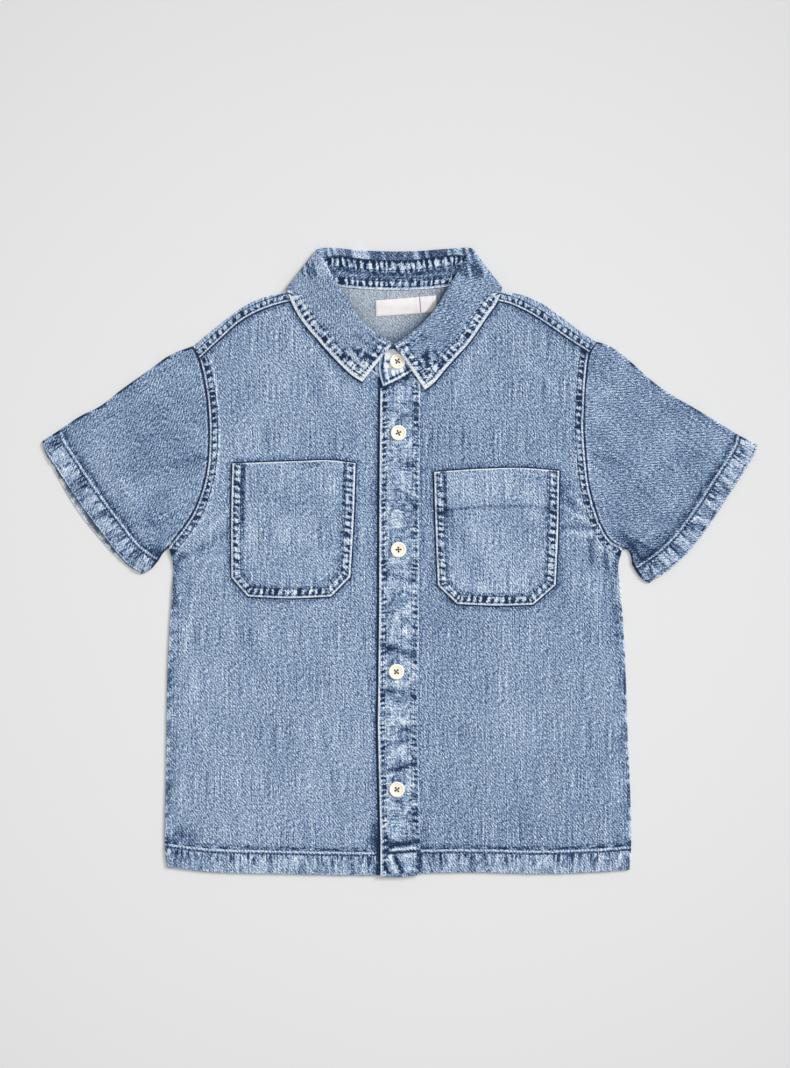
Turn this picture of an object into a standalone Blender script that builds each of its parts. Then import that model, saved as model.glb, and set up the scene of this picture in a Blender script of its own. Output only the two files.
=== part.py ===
"""A child's short-sleeved denim shirt, laid flat on its back with its buttons closed.

+Z is up, +Y runs from the hem to the collar and +X to the wearer's left. The cloth lies in layers:
the back on the surface, the two fronts over it, then the placket, the pockets and the collar. Each
piece is a wall of real thickness through its own middle surface, worked out from seam lines.
"""

import bpy
import numpy as np

MM = 0.001

# Walls and gaps, in millimetres.
CLOTH = 1.0
TURNED = 0.6  # what a turned hem or a felled seam adds to a wall
POCKET_WALL = 1.2
PLACKET_WALL = 1.6
STAND_WALL = 1.4
LEAF_WALL = 1.5
LABEL_WALL = 1.0
SEAM_GAP = 0.3
CORNER_GAP = 1.6  # more room where a sloping wall turns a tight corner
ROLL_CORNER_GAP = 2.4  # the same between the top of the stand and the fall

# How the layers lie.
BACK_Z = CLOTH / 2
FALL_Z = LEAF_WALL / 2 + 0.08
NECK_SEAM_RISE = 0.3  # the stand's seam over the middle of the back
FRONT_Z = BACK_Z + CLOTH + SEAM_GAP
LOFT = 1.4  # how much the fronts rise off the back, away from the folded edges
LOFT_RUN = 30.0
COLLAR_RAISE = 2.1  # the fall of the collar lies under the back and lifts it
COLLAR_RAISE_RUN = 14.0
RAISE_MARGIN = 2.0
NECK_LIFT = 0.3
NECK_LIFT_RUN = 8.0
FOLD_START = 12.0  # the folds die away this near to the outline
ROLL_RADIUS = 1.1
OVERLAP_Z = 1.5  # the stand's ends over the middle of the front: the left one lies on the placket,
UNDERLAP_Z = -0.5  # and the right one under it

# Widths of what is turned, felled or lapped.
HEM_DEPTH = 16.5
BODY_HEIGHT = 235.0  # from the hem to the underarm
FELL_WIDTH = 7.0
STEP_RUN = 1.5
POCKET_HEM = 28.0
PLACKET_HALF = 14.6
UNDERLAP_X = 7.4
OVERLAP_X = 8.0
CUFF_SHOW = 4.5  # the under layer of the right sleeve shows past its upper layer

BUTTON_RADIUS = 5.75
BUTTON_THICK = 1.6
BUTTON_HOLE_RADIUS = 0.75
BUTTON_HOLE_OFFSET = 1.1  # sideways and lengthways from the middle
BUTTON_SIDES = 22
# A button's profile: share of the radius, share of the thickness.
BUTTON_PROFILE = [(0, 0), (0.78, 0), (1, 0.35), (0.98, 0.75), (0.85, 1), (0.7, 0.8), (0, 0.72)]

DENIM = (0.25, 0.36, 0.53)
PALE_DENIM = (0.34, 0.45, 0.6)
INNER_DENIM = (0.3, 0.38, 0.5)
LABEL_CLOTH = (0.85, 0.83, 0.8)
BUTTON_SHELL = (0.85, 0.74, 0.55)
CLOTH_ROUGHNESS = 0.9
BUTTON_ROUGHNESS = 0.45
SHARP_ANGLE = 50

# Seam lines and folded edges as (x, y). "right" and "left" are the wearer's.
HEM = [(-169.4, -223), (-140, -226.5), (-88, -228), (-20, -229), (16, -227.5), (58, -227),
       (102, -228), (146, -226.5), (167.6, -225)]
SIDE = {
    "right": [(-169.4, -223), (-171.4, -212), (-170.8, -150), (-169.4, -72), (-166.4, -20),
              (-165.3, -5), (-168.6, 10.5)],
    "left": [(167.6, -225), (168.8, -210), (168.4, -174), (166.4, -126), (164, -60), (161, -20),
             (159.4, -4), (162.4, 9.5)],
}
ARMHOLE = {
    "right": [(-168.6, 10.5), (-157, 25.4), (-149.7, 37), (-143.8, 52.4), (-140.2, 68.4),
              (-138.7, 91), (-139.4, 111), (-141.6, 129), (-146.3, 148.6), (-150.8, 157.8)],
    "left": [(162.4, 9.5), (153.3, 15.1), (146, 26.8), (140.9, 40.7), (137.2, 56), (135.1, 74.3),
             (133.6, 96.2), (134, 111), (135.1, 132.7), (138, 153), (143, 161)],
}
SHOULDER_FOLD = {
    "right": [(-150.8, 157.8), (-138.7, 167.7), (-124.1, 179.2), (-109.5, 189), (-94.9, 194.3),
              (-81, 196.8), (-70, 201), (-61.2, 206.2)],
    "left": [(143, 161), (131.4, 168.4), (116.8, 179.4), (102.2, 189.4), (87.6, 195.2),
             (73, 197.6), (65, 201.5), (58, 206.7)],
}
SHOULDER_SEAM = {
    "right": [(-146.3, 148.6), (-131.4, 162.6), (-116.8, 175.5), (-102.2, 183.5), (-87.6, 188.6),
              (-79, 190.5), (-62.6, 195.2)],
    "left": [(138, 153), (124.1, 161.9), (109.5, 172.1), (94.9, 181.5), (80.3, 188.3),
             (70.8, 190.8), (59.8, 195.6)],
}
NECK_BACK = [(-60, 206.5), (-43.8, 200.6), (-21.9, 198.7), (0, 198), (21.9, 199.1), (40, 201.6),
             (57, 207)]
NECK_FRONT = {
    "right": [(-60, 206.5), (-61.2, 195.5), (-57, 180), (-46, 165), (-31, 148), (-16, 135),
              (-4, 128.5), (UNDERLAP_X, 126)],
    "left": [(57, 207), (58.4, 196), (52, 178), (40, 163), (26, 149), (OVERLAP_X, 138.4)],
}
SLEEVE_TOP = {
    "right": [(-150.8, 157.8), (-168, 151), (-182.5, 140.7), (-204, 125.4), (-219, 113.7),
              (-233.6, 106.4), (-248.2, 96.6)],
    "left": [(143, 161), (153.3, 157.5), (167.9, 146.6), (182.5, 133.4), (197, 122.8), (219, 110),
             (244.5, 94.2)],
}
SLEEVE_UNDER = {
    "right": [(-168.6, 10.5), (-173, 6.4), (-176.7, 0.5)],
    "left": [(162.4, 9.5), (166.3, 8.8), (168.6, 4.6), (169.6, -2)],
}
SLEEVE_HEM_LINE = {
    "right": [(-176.7, 0.5), (-189.8, 13), (-204.4, 32.7), (-219, 53.8), (-233.6, 73.5),
              (-248.2, 96.6)],
    "left": [(169.6, -2), (182.5, 4.5), (189.8, 13.7), (204.4, 28.3), (215.4, 40), (226.3, 57),
             (237.3, 74.3), (244.5, 94.2)],
}
HEM_TOP = {
    "right": [(-248.2, 96.6), (-261.3, 88.1)],
    "left": [(244.5, 94.2), (260.8, 85.2)],
}
HEM_UNDER = {
    "right": [(-176.7, 0.5), (-182.5, -6), (-188.3, -8.9)],
    "left": [(169.6, -2), (173.5, -8.5), (178, -13.5), (182.5, -15.5)],
}
CUFF = {
    "right": [(-188.3, -8.9), (-200.8, 0.5), (-219, 23.2), (-233.6, 42.9), (-248.2, 64.8),
              (-259.5, 82.5), (-261.3, 88.1)],
    "left": [(182.5, -15.5), (197.1, -5.3), (211.7, 8.6), (226.3, 27.6), (240.9, 50.2),
             (251.9, 67), (260, 81.5), (260.8, 85.2)],
}
PLACKET_TOP = [(-PLACKET_HALF, 126), (-12.4, 127.3), (0, 133.2), (OVERLAP_X, 138), (PLACKET_HALF, 141.6)]
PLACKET_BOTTOM = [(-PLACKET_HALF, -229.6), (0, -229.9), (PLACKET_HALF, -228.4)]
POCKETS = {
    "right": {
        "top": [(-122.3, 71.7), (-98, 72.6), (-73, 73.4), (-51.1, 74), (-32.5, 71.9)],
        "outer": [(-123, -11.5), (-123.2, 30), (-122.3, 71.7)],
        "inner": [(-36.3, -11.1), (-33.9, 30), (-32.5, 71.9)],
        "bottom": [(-123, -11.5), (-111, -25.4), (-80.3, -26.6), (-50.4, -25.4), (-36.3, -11.1)],
    },
    "left": {
        "top": [(24.8, 65.5), (58.4, 67.7), (87.6, 68.4), (116.1, 66.4)],
        "outer": [(27.6, -17.3), (26.1, 20), (24.8, 65.5)],
        "inner": [(113.5, -17), (115.2, 20), (116.1, 66.4)],
        "bottom": [(27.6, -17.3), (41.6, -30.8), (70, -32), (97, -31.4), (113.5, -17)],
    },
}
LABELS = {  # corners from the lower left, the way round
    "neck_label": [(-17.5, 179), (14.9, 181.4), (13.9, 193.3), (-17.9, 190.7)],
    "size_label": [(15.3, 181.5), (27, 182.6), (26.3, 194.4), (14.4, 193.4)],
}
BUTTONS = [(-1.8, 146.2), (-1.1, 94), (-1.1, 8.9), (-2.6, -80.1), (-2.2, -165.9)]

# The largest soft folds of the upper layer: from (x, y), to (x, y), half width, height.
FOLDS = [
    (128, 88, 146, 30, 6, 0.7),
    (118, 26, 150, 4, 6, 0.8),
    (112, -12, 152, -22, 7, 0.6),
    (150, -60, 160, -190, 8, 0.5),
    (-128, 60, -148, 14, 6, 0.6),
    (-118, -14, -156, -8, 7, 0.7),
    (-156, -70, -163, -190, 8, 0.5),
    (-60, -150, -40, -60, 12, 0.4),
    (70, -170, 84, -60, 12, 0.4),
    (-160, 40, -198, 112, 8, 0.6),
    (-176, 22, -216, 70, 7, 0.6),
    (150, 44, 190, 108, 8, 0.6),
    (170, 20, 214, 66, 7, 0.7),
    (146, 90, 166, 138, 7, 0.5),
]

# Sections of the collar from the centre of the back round to each front end. "over" is 0 where the
# fall lies under the back and 1 where it lies on the front. "turn" is the angle in degrees by which
# the stand side of the roll points up (90) or down (-90). "riser" is how far the roll lies past the
# top of the stand, and "rise" how much higher that top is than the neck seam.
# neck x, neck y, roll x, roll y, roll z, edge x, edge y, edge lift, riser, rise, over, turn
COLLAR = {
    "right": [
        (-14, 198.3, -14.5, 226.8, 1.95, -18, 192.9, 0, 6, 0.1, 0, 90),
        (-29, 199.2, -30, 227.4, 1.95, -40, 194, 0, 5.6, 0.1, 0, 90),
        (-44, 200.6, -45, 229, 2, -62, 196.2, 0, 5.2, 0.1, 0, 85),
        (-53, 203.6, -54, 229.2, 2.4, -75, 198.8, 0, 7.4, 0.2, 0.1, 60),
        (-60, 206.5, -58.6, 227.9, 3.9, -81, 200.6, 0, 8, 0.4, 0.5, 0),
        (-60.6, 202.6, -57.4, 224.2, 6, -81.9, 197.9, 0, 6, 1, 0.92, -50),
        (-61, 198.5, -54.4, 218.6, 8, -80.8, 193.4, 0, 6, 1.6, 1, -75),
        (-60.6, 192.5, -50.2, 210.6, 9.3, -78.1, 186.8, 0, 5.8, 2, 1, -90),
        (-58.5, 184.5, -45.2, 201.9, 9.8, -73.6, 178.8, 0, 5.5, 2.2, 1, -90),
        (-54.5, 175.8, -40.1, 193.4, 9.8, -67.5, 170.4, 0, 5.5, 2.2, 1, -90),
        (-48.5, 168, -34.1, 183.8, 9.8, -60.5, 162.4, 0, 5.5, 2.1, 1, -90),
        (-41, 159.5, -27.6, 175.3, 9.8, -52.6, 153.4, 0, 5, 1.9, 1, -90),
        (-32.5, 149.6, -20.6, 169.4, 9.8, -44.1, 144.4, 0, 4.4, 1.4, 1, -90),
        (-22, 139.8, -12.8, 163.6, 9.6, -35.6, 136.4, 0, 3.2, 0.6, 1, -90),
        (-11, 131.8, -5.1, 159, 9.3, -27.7, 131.2, 0, 2.4, 0, 1, -90),
    ],
    "left": [
        (14, 198.6, 14, 227, 1.95, 18, 193, 0, 5.6, 0.1, 0, 90),
        (28, 199.6, 28.4, 228.1, 1.95, 38, 194.4, 0, 4.9, 0.1, 0, 90),
        (41, 201.8, 41, 229, 2, 57, 197, 0, 4.6, 0.1, 0, 85),
        (50, 204.3, 47.8, 229.2, 2.4, 68.4, 199.4, 0, 7.4, 0.2, 0.1, 60),
        (57, 207, 51.2, 227.7, 3.9, 73, 200.9, 0, 8.4, 0.4, 0.5, 0),
        (57.8, 203, 49.2, 223.8, 6, 73.9, 198.2, 0, 6, 1, 0.92, -50),
        (58.3, 198.5, 46, 218.2, 8, 72.4, 193.2, 0, 6, 1.6, 1, -75),
        (57.4, 192, 41.6, 210.4, 9.3, 69.2, 186.6, 0, 5.8, 2, 1, -90),
        (54.5, 184, 36.4, 202.2, 9.8, 63.6, 178.9, 0, 5.5, 2.2, 1, -90),
        (50, 175.2, 30.8, 192.6, 9.8, 57, 169, 0, 5.5, 2.2, 1, -90),
        (43.5, 167, 24.4, 182.7, 9.8, 49.6, 158.8, 0, 5.5, 2.1, 1, -90),
        (36, 158.8, 15.8, 173.4, 9.8, 41.4, 149.8, 0, 5, 2, 1, -90),
        (27.4, 150.2, 7.4, 166.5, 9.8, 32.8, 140.1, 0, 4.6, 2, 1, -90),
        (17.8, 143.6, 0.2, 161, 9.7, 24.8, 130.6, 0.3, 4, 1.2, 1, -90),
        (8.6, 138.8, -4.6, 158.6, 9.4, 18.3, 125.4, 0.9, 3, 0.2, 1, -90),
    ],
}
COLLAR_CENTRE = (0, 198, 0, 226.6, 1.95, 0, 192.6, 0, 6.1, 0.1, 0, 90)
COLLAR_STEPS = 2
# How far the left end of the stand climbs onto the placket, by the x of the neck seam.
STAND_CLIMB = [(8, 1.5), (18, 0.9), (28, 0.1), (30, 0)]
STAND_SINK = [(-34, 0), (-22, 0.4), (-11, 0.5)]
# The ends of the stand past the fall: neck x, neck y, top x, top y, bulge.
STAND_OVERLAP = [(0, 133.6, -6.8, 155, 0), (-7, 130.2, -10.6, 154, 1), (-12.4, 127.9, -14.2, 151.4, 2)]
STAND_UNDERLAP = [(-2, 128.8, 0.5, 156.4, 0), (UNDERLAP_X - 0.6, 126.8, 8, 156, 0)]

# Shares of a panel's breadth and height at which its rows and columns stand.
NECK_SHARE = 0.553
FRONT_COLUMNS = [0, 0.045, 0.056, 0.11, 0.17, 0.23, 0.29, 0.35, 0.41, 0.46, 0.51, NECK_SHARE,
                 0.59, 0.63, 0.67, 0.71, 0.76, 0.81, 0.87, 0.93, 1]
BODY_ROWS = [0, HEM_DEPTH / BODY_HEIGHT, (HEM_DEPTH + STEP_RUN) / BODY_HEIGHT, 0.13, 0.19, 0.25, 0.31,
             0.37, 0.43, 0.49, 0.55, 0.61, 0.67, 0.73, 0.79, 0.85, 0.9, 0.95, 1]
CHEST_ROWS = [0, 0.06, 0.13, 0.2, 0.27, 0.34, 0.41, 0.48, 0.55, 0.62, 0.69, 0.75, 0.81, 0.86,
              0.905, 0.94, 0.97, 1]
POCKET_COLUMNS = [0, 0.03, 0.1, 0.16, 0.28, 0.42, 0.58, 0.72, 0.84, 0.9, 0.97, 1]
NECK_COLUMNS = 14
FOLD_STEPS = 4
SEAM_SHARE = 0.94  # of the height over the underarm, where the shoulder seam meets the armhole
UNDERARM_SHARE = 0.1  # of the armhole, along which the sleeve stands further off
STAND_SHARES = [0.25, 0.5, 0.75, 1]  # of the stand's height
ROLL_ANGLES = [90, 45, 0, -45, -90]
LEAF_SHARES = [0.12, 0.3, 0.5, 0.72, 0.9, 1]  # from the roll to the free edge


def smooth_line(points, steps=16):
    """Points along a centripetal Catmull-Rom curve through `points`."""
    points = np.asarray(points, float)
    if len(points) == 2:
        share = np.linspace(0, 1, steps + 1)[:, None]
        return points[0] + share * (points[1] - points[0])
    ends = np.vstack([2 * points[0] - points[1], points, 2 * points[-1] - points[-2]])
    share = np.linspace(0, 1, steps, endpoint=False)[:, None]
    line = []
    for before, start, end, after in zip(ends, ends[1:], ends[2:], ends[3:]):
        knots = [np.linalg.norm(b - a) ** 0.5 for a, b in ((before, start), (start, end), (end, after))]
        leave = (start - before) / knots[0] - (end - before) / (knots[0] + knots[1])
        leave += (end - start) / knots[1]
        arrive = (end - start) / knots[1] - (after - start) / (knots[1] + knots[2])
        arrive += (after - end) / knots[2]
        line.append(
            (2 * share**3 - 3 * share**2 + 1) * start
            + (share**3 - 2 * share**2 + share) * leave * knots[1]
            + (3 * share**2 - 2 * share**3) * end
            + (share**3 - share**2) * arrive * knots[1]
        )
    return np.vstack([*line, points[-1:]])


def along(line, shares, by="length"):
    """Points of a dense line at shares of its length, or of its extent in x or y."""
    if by == "length":
        measure = np.append(0, np.cumsum(np.linalg.norm(np.diff(line, axis=0), axis=1)))
    else:
        measure = np.abs(line[:, "xy".index(by)] - line[0, "xy".index(by)])
    measure = measure / measure[-1]
    return np.stack([np.interp(shares, measure, line[:, axis]) for axis in range(line.shape[1])], -1)


def unit(vectors):
    return vectors / np.linalg.norm(vectors, axis=-1, keepdims=True)


def ease(share):
    """A step from 0 to 1 that starts and ends level."""
    share = np.clip(share, 0, 1)
    return share * share * (3 - 2 * share)


def distance_to(line, x, y):
    """Distance in plan from each (x, y) to the nearest point of a line's segments."""
    at = np.stack([x, y], -1)[..., None, :]
    start, run = line[:-1], np.diff(line, axis=0)
    share = np.clip(((at - start) * run).sum(-1) / np.maximum((run * run).sum(-1), 1e-9), 0, 1)
    return np.linalg.norm(at - start - share[..., None] * run, axis=-1).min(-1)


def outline_of(side):
    """The folded edge of one half, from the hem up the side, round the sleeve, to the neck."""
    parts = [SIDE[side], SLEEVE_UNDER[side], HEM_UNDER[side], CUFF[side]]
    parts += [HEM_TOP[side][::-1], SLEEVE_TOP[side][::-1], SHOULDER_FOLD[side]]
    return np.vstack([smooth_line(part, 6) for part in parts])


OUTLINE = np.vstack([outline_of("right")[::-1], smooth_line(HEM, 6), outline_of("left")])
FALL_UNDER = np.array([row[5:7] for row in COLLAR["right"][4::-1] + [COLLAR_CENTRE] + COLLAR["left"][:5]])
NECK_LINE = np.vstack([smooth_line(NECK_FRONT["right"])[::-1], smooth_line(NECK_FRONT["left"])])


def collar_raise(x, y):
    """How much the collar's fall lifts the cloth that lies over it."""
    edge = np.interp(x, FALL_UNDER[:, 0], FALL_UNDER[:, 1])
    over = (y > edge) & (x > FALL_UNDER[0, 0]) & (x < FALL_UNDER[-1, 0])
    away = np.where(over, 0, distance_to(FALL_UNDER, x, y))
    return COLLAR_RAISE * ease(1 - (away - RAISE_MARGIN) / COLLAR_RAISE_RUN)


def back_height(x, y):
    """Height of the middle of the back."""
    return BACK_Z + collar_raise(x, y)


def folds(x, y):
    """Height that the soft folds add, each a rounded ridge that dies away at both ends."""
    total = np.zeros(np.shape(x))
    for x0, y0, x1, y1, half, height in FOLDS:
        length = np.hypot(x1 - x0, y1 - y0)
        forward = ((x - x0) * (x1 - x0) + (y - y0) * (y1 - y0)) / length
        aside = ((x - x0) * (y1 - y0) - (y - y0) * (x1 - x0)) / length
        ends = ease(0.5 + forward / half / 2) * ease(0.5 + (length - forward) / half / 2)
        total += height * ends * np.exp(-((aside / half) ** 2))
    return total


def front_height(x, y):
    """Height of the middle of the fronts and of the sleeves' upper layer."""
    depth = distance_to(OUTLINE, x, y)
    loft = LOFT * (1 - np.exp(-depth / LOFT_RUN))
    neck = NECK_LIFT * np.exp(-distance_to(NECK_LINE, x, y) / NECK_LIFT_RUN)
    return FRONT_Z + loft + neck + collar_raise(x, y) + folds(x, y) * ease(depth / FOLD_START)


def patch(low, high, start, end, across, up):
    """Plan points of a four-sided patch (Coons) from points on its four edges."""
    a, u = np.asarray(across)[None, :, None], np.asarray(up)[:, None, None]
    corners = (1 - a) * (1 - u) * low[0] + a * (1 - u) * low[-1] + (1 - a) * u * high[0] + a * u * high[-1]
    return (1 - u) * low + u * high + (1 - a) * start[:, None] + a * end[:, None] - corners


def raised(plan, height):
    """Plan points with the height that a function of x and y gives them."""
    return np.dstack([plan, height(plan[..., 0], plan[..., 1])])


def material_of(name, colour, roughness):
    material = bpy.data.materials.new(name)
    material.use_nodes = True
    shader = material.node_tree.nodes["Principled BSDF"]
    shader.inputs["Base Color"].default_value = (*colour, 1)
    shader.inputs["Roughness"].default_value = roughness
    shader.inputs["Metallic"].default_value = 0
    material.diffuse_color = (*colour, 1)
    return material


def piece(name, points, faces, colour, roughness=CLOTH_ROUGHNESS):
    """An object from points in millimetres, shaded smooth up to its sharp edges."""
    mesh = bpy.data.meshes.new(name)
    mesh.from_pydata((np.asarray(points) * MM).tolist(), [], faces)
    mesh.materials.append(material_of(name, colour, roughness))
    mesh.shade_smooth()
    mesh.set_sharp_from_angle(angle=np.radians(SHARP_ANGLE))
    item = bpy.data.objects.new(name, mesh)
    bpy.context.scene.collection.objects.link(item)
    return item


def cloth(name, patches, colour, upright=False):
    """One closed wall through patches of a middle surface.

    A patch is (points, above, below): a grid of points and how far the wall reaches on each side.
    Points that patches share are made one, and free edges are closed by a rim. An upright wall is
    measured straight up and down, any other square to its surface.
    """
    grids = [np.broadcast_arrays(grid[..., 0], above, below) for grid, above, below in patches]
    points = np.vstack([grid.reshape(-1, 3) for grid, _, _ in patches])
    above, below = (np.concatenate([grid[side].ravel() for grid in grids]) for side in (1, 2))
    faces, start = [], 0
    for grid, _, _ in patches:
        rows, columns = grid.shape[:2]
        index = start + np.arange(rows * columns).reshape(rows, columns)
        corners = (index[:-1, :-1], index[:-1, 1:], index[1:, 1:], index[1:, :-1])
        faces.append(np.stack(corners, -1).reshape(-1, 4))
        start += rows * columns
    _, first, same = np.unique(np.round(points, 3), axis=0, return_index=True, return_inverse=True)
    points, above, below = points[first], above[first, None], below[first, None]
    faces = same.reshape(-1)[np.vstack(faces)]
    normals = np.zeros_like(points)
    if upright:
        normals[:, 2] = 1
    else:
        corner = points[faces]
        facing = np.cross(corner[:, 2] - corner[:, 0], corner[:, 3] - corner[:, 1])
        for column in range(4):
            np.add.at(normals, faces[:, column], facing)
        normals = unit(normals)
    edges = np.vstack([faces[:, [column, (column + 1) % 4]] for column in range(4)])
    _, kind, count = np.unique(np.sort(edges, axis=1), axis=0, return_inverse=True, return_counts=True)
    rim = edges[count[kind.reshape(-1)] == 1]
    under = len(points)
    walls = np.column_stack([rim[:, 1], rim[:, 0], rim[:, 0] + under, rim[:, 1] + under])
    return piece(
        name,
        np.vstack([points + normals * above, points - normals * below]),
        np.vstack([faces, faces[:, ::-1] + under, walls]).tolist(),
        colour,
    )


def felled(side, plan):
    """What the felled armhole seam adds to the front beside it."""
    away = distance_to(smooth_line(ARMHOLE[side]), plan[..., 0], plan[..., 1])
    return TURNED * ease((FELL_WIDTH - away) / STEP_RUN + 0.5)


def hem_share(rows):
    """1 in the turned hem at the foot of the body and 0 above it, for shares of the body's height."""
    return np.where(np.asarray(rows) <= BODY_ROWS[1], 1.0, 0.0)


def underarm_line(side, far, shares):
    """The row of a panel that runs level from the underarm to x = `far`."""
    x, y = ARMHOLE[side][0]
    return along(np.array([(x, y), (far, y)]), shares)


def front(side, far, colour):
    """A front panel, from its side seam and armhole to its free edge at x = `far`."""
    columns, rows = np.array(FRONT_COLUMNS), np.array(BODY_ROWS)
    hem = smooth_line(HEM if side == "right" else HEM[::-1])
    x_of = np.linspace(hem[0, 0], far, 2)
    feet = x_of[0] + columns * (x_of[1] - x_of[0])
    order = np.argsort(hem[:, 0])
    low = np.column_stack([feet, np.interp(feet, hem[order, 0], hem[order, 1])])
    waist = underarm_line(side, far, columns)
    edge = np.column_stack([np.full(len(rows), far), low[-1, 1] + rows * (waist[-1, 1] - low[-1, 1])])
    body = patch(low, waist, along(smooth_line(SIDE[side]), rows, "y"), edge, columns, rows)

    neck = smooth_line(NECK_FRONT[side])
    neck = neck[neck[:, 1] <= SHOULDER_SEAM[side][-1][1]]
    shoulder = along(smooth_line(SHOULDER_SEAM[side]), columns[columns <= NECK_SHARE] / NECK_SHARE)
    collar_line = along(neck, (columns[columns > NECK_SHARE] - NECK_SHARE) / (1 - NECK_SHARE))
    top = np.vstack([shoulder, collar_line])
    rows = np.array(CHEST_ROWS)
    edge = np.column_stack([np.full(len(rows), far), waist[-1, 1] + rows * (top[-1, 1] - waist[-1, 1])])
    chest = patch(waist, top, armhole_points(side)[: len(rows)], edge, columns, rows)

    half = CLOTH / 2
    patches = []
    for plan, extra in ((body, TURNED * hem_share(BODY_ROWS)[:, None]), (chest, felled(side, chest))):
        grid = raised(plan, front_height)
        if side == "left":
            grid, extra = grid[:, ::-1], np.broadcast_to(extra, grid.shape[:2])[:, ::-1]
        patches.append((grid, half + extra, half))
    return cloth("front_" + side, patches, colour, upright=True)


def armhole_points(side):
    """Points on the armhole: the rows of the front, then those of the back's shoulder flap."""
    line = smooth_line(ARMHOLE[side])
    seam = np.array(SHOULDER_SEAM[side][0])
    at = np.linalg.norm(line - seam, axis=1).argmin()
    return np.vstack([along(line[: at + 1], np.array(CHEST_ROWS)), along(line[at:], [0.5, 1])])


def shoulder_flap(side):
    """The strip of the back that wraps over the shoulder to the seam on the front."""
    shares = np.array([share for share in FRONT_COLUMNS if share <= NECK_SHARE]) / NECK_SHARE
    fold = along(smooth_line(SHOULDER_FOLD[side]), shares)
    seam = along(smooth_line(SHOULDER_SEAM[side]), shares)
    inward = unit(seam - fold)
    seam = seam - SEAM_GAP * inward
    radius = (FRONT_Z - BACK_Z) / 2
    turn = fold + (radius + CLOTH / 2) * inward
    low, high = back_height(*turn.T), front_height(*turn.T)
    rows = []
    for angle in np.linspace(-np.pi / 2, np.pi / 2, FOLD_STEPS + 1):
        plan = turn - radius * np.cos(angle) * inward
        rows.append(np.column_stack([plan, (low + high) / 2 + (high - low) / 2 * np.sin(angle)]))
    for share in (0.5, 1):
        plan = turn + share * (seam - turn)
        rows.append(np.column_stack([plan, front_height(*plan.T)]))
    return np.array(rows)


def back(colour):
    """The back, flat on the surface, with a flap over each shoulder."""
    flaps = {side: shoulder_flap(side) for side in ("right", "left")}
    neck = along(smooth_line(NECK_BACK), np.linspace(0, 1, NECK_COLUMNS + 1))
    neck[0], neck[-1] = flaps["right"][0, -1, :2], flaps["left"][0, -1, :2]
    top = np.vstack([flaps["right"][0, :, :2], neck[1:-1], flaps["left"][0, ::-1, :2]])
    columns = (top[:, 0] - top[0, 0]) / (top[-1, 0] - top[0, 0])
    rows = np.array(BODY_ROWS)
    hem, waist_ends = smooth_line(HEM), [ARMHOLE[side][0] for side in ("right", "left")]
    feet = hem[0, 0] + columns * (hem[-1, 0] - hem[0, 0])
    low = np.column_stack([feet, np.interp(feet, hem[:, 0], hem[:, 1])])
    waist = along(np.array(waist_ends), columns)
    sides = [along(smooth_line(SIDE[side]), rows, "y") for side in ("right", "left")]
    body = patch(low, waist, *sides, columns, rows)
    arms = [armhole_points(side) for side in ("right", "left")]
    arms[0][-1], arms[1][-1] = top[0], top[-1]
    shares = np.append(np.array(CHEST_ROWS) * SEAM_SHARE, [(1 + SEAM_SHARE) / 2, 1])
    chest = patch(waist, top, *arms, columns, shares)
    half = CLOTH / 2
    patches = [(raised(plan, back_height), half, half) for plan in (body, chest)]
    patches.append((flaps["right"], half, half))
    patches.append((flaps["left"][:, ::-1], half, half))
    return cloth("back", patches, colour)


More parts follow.
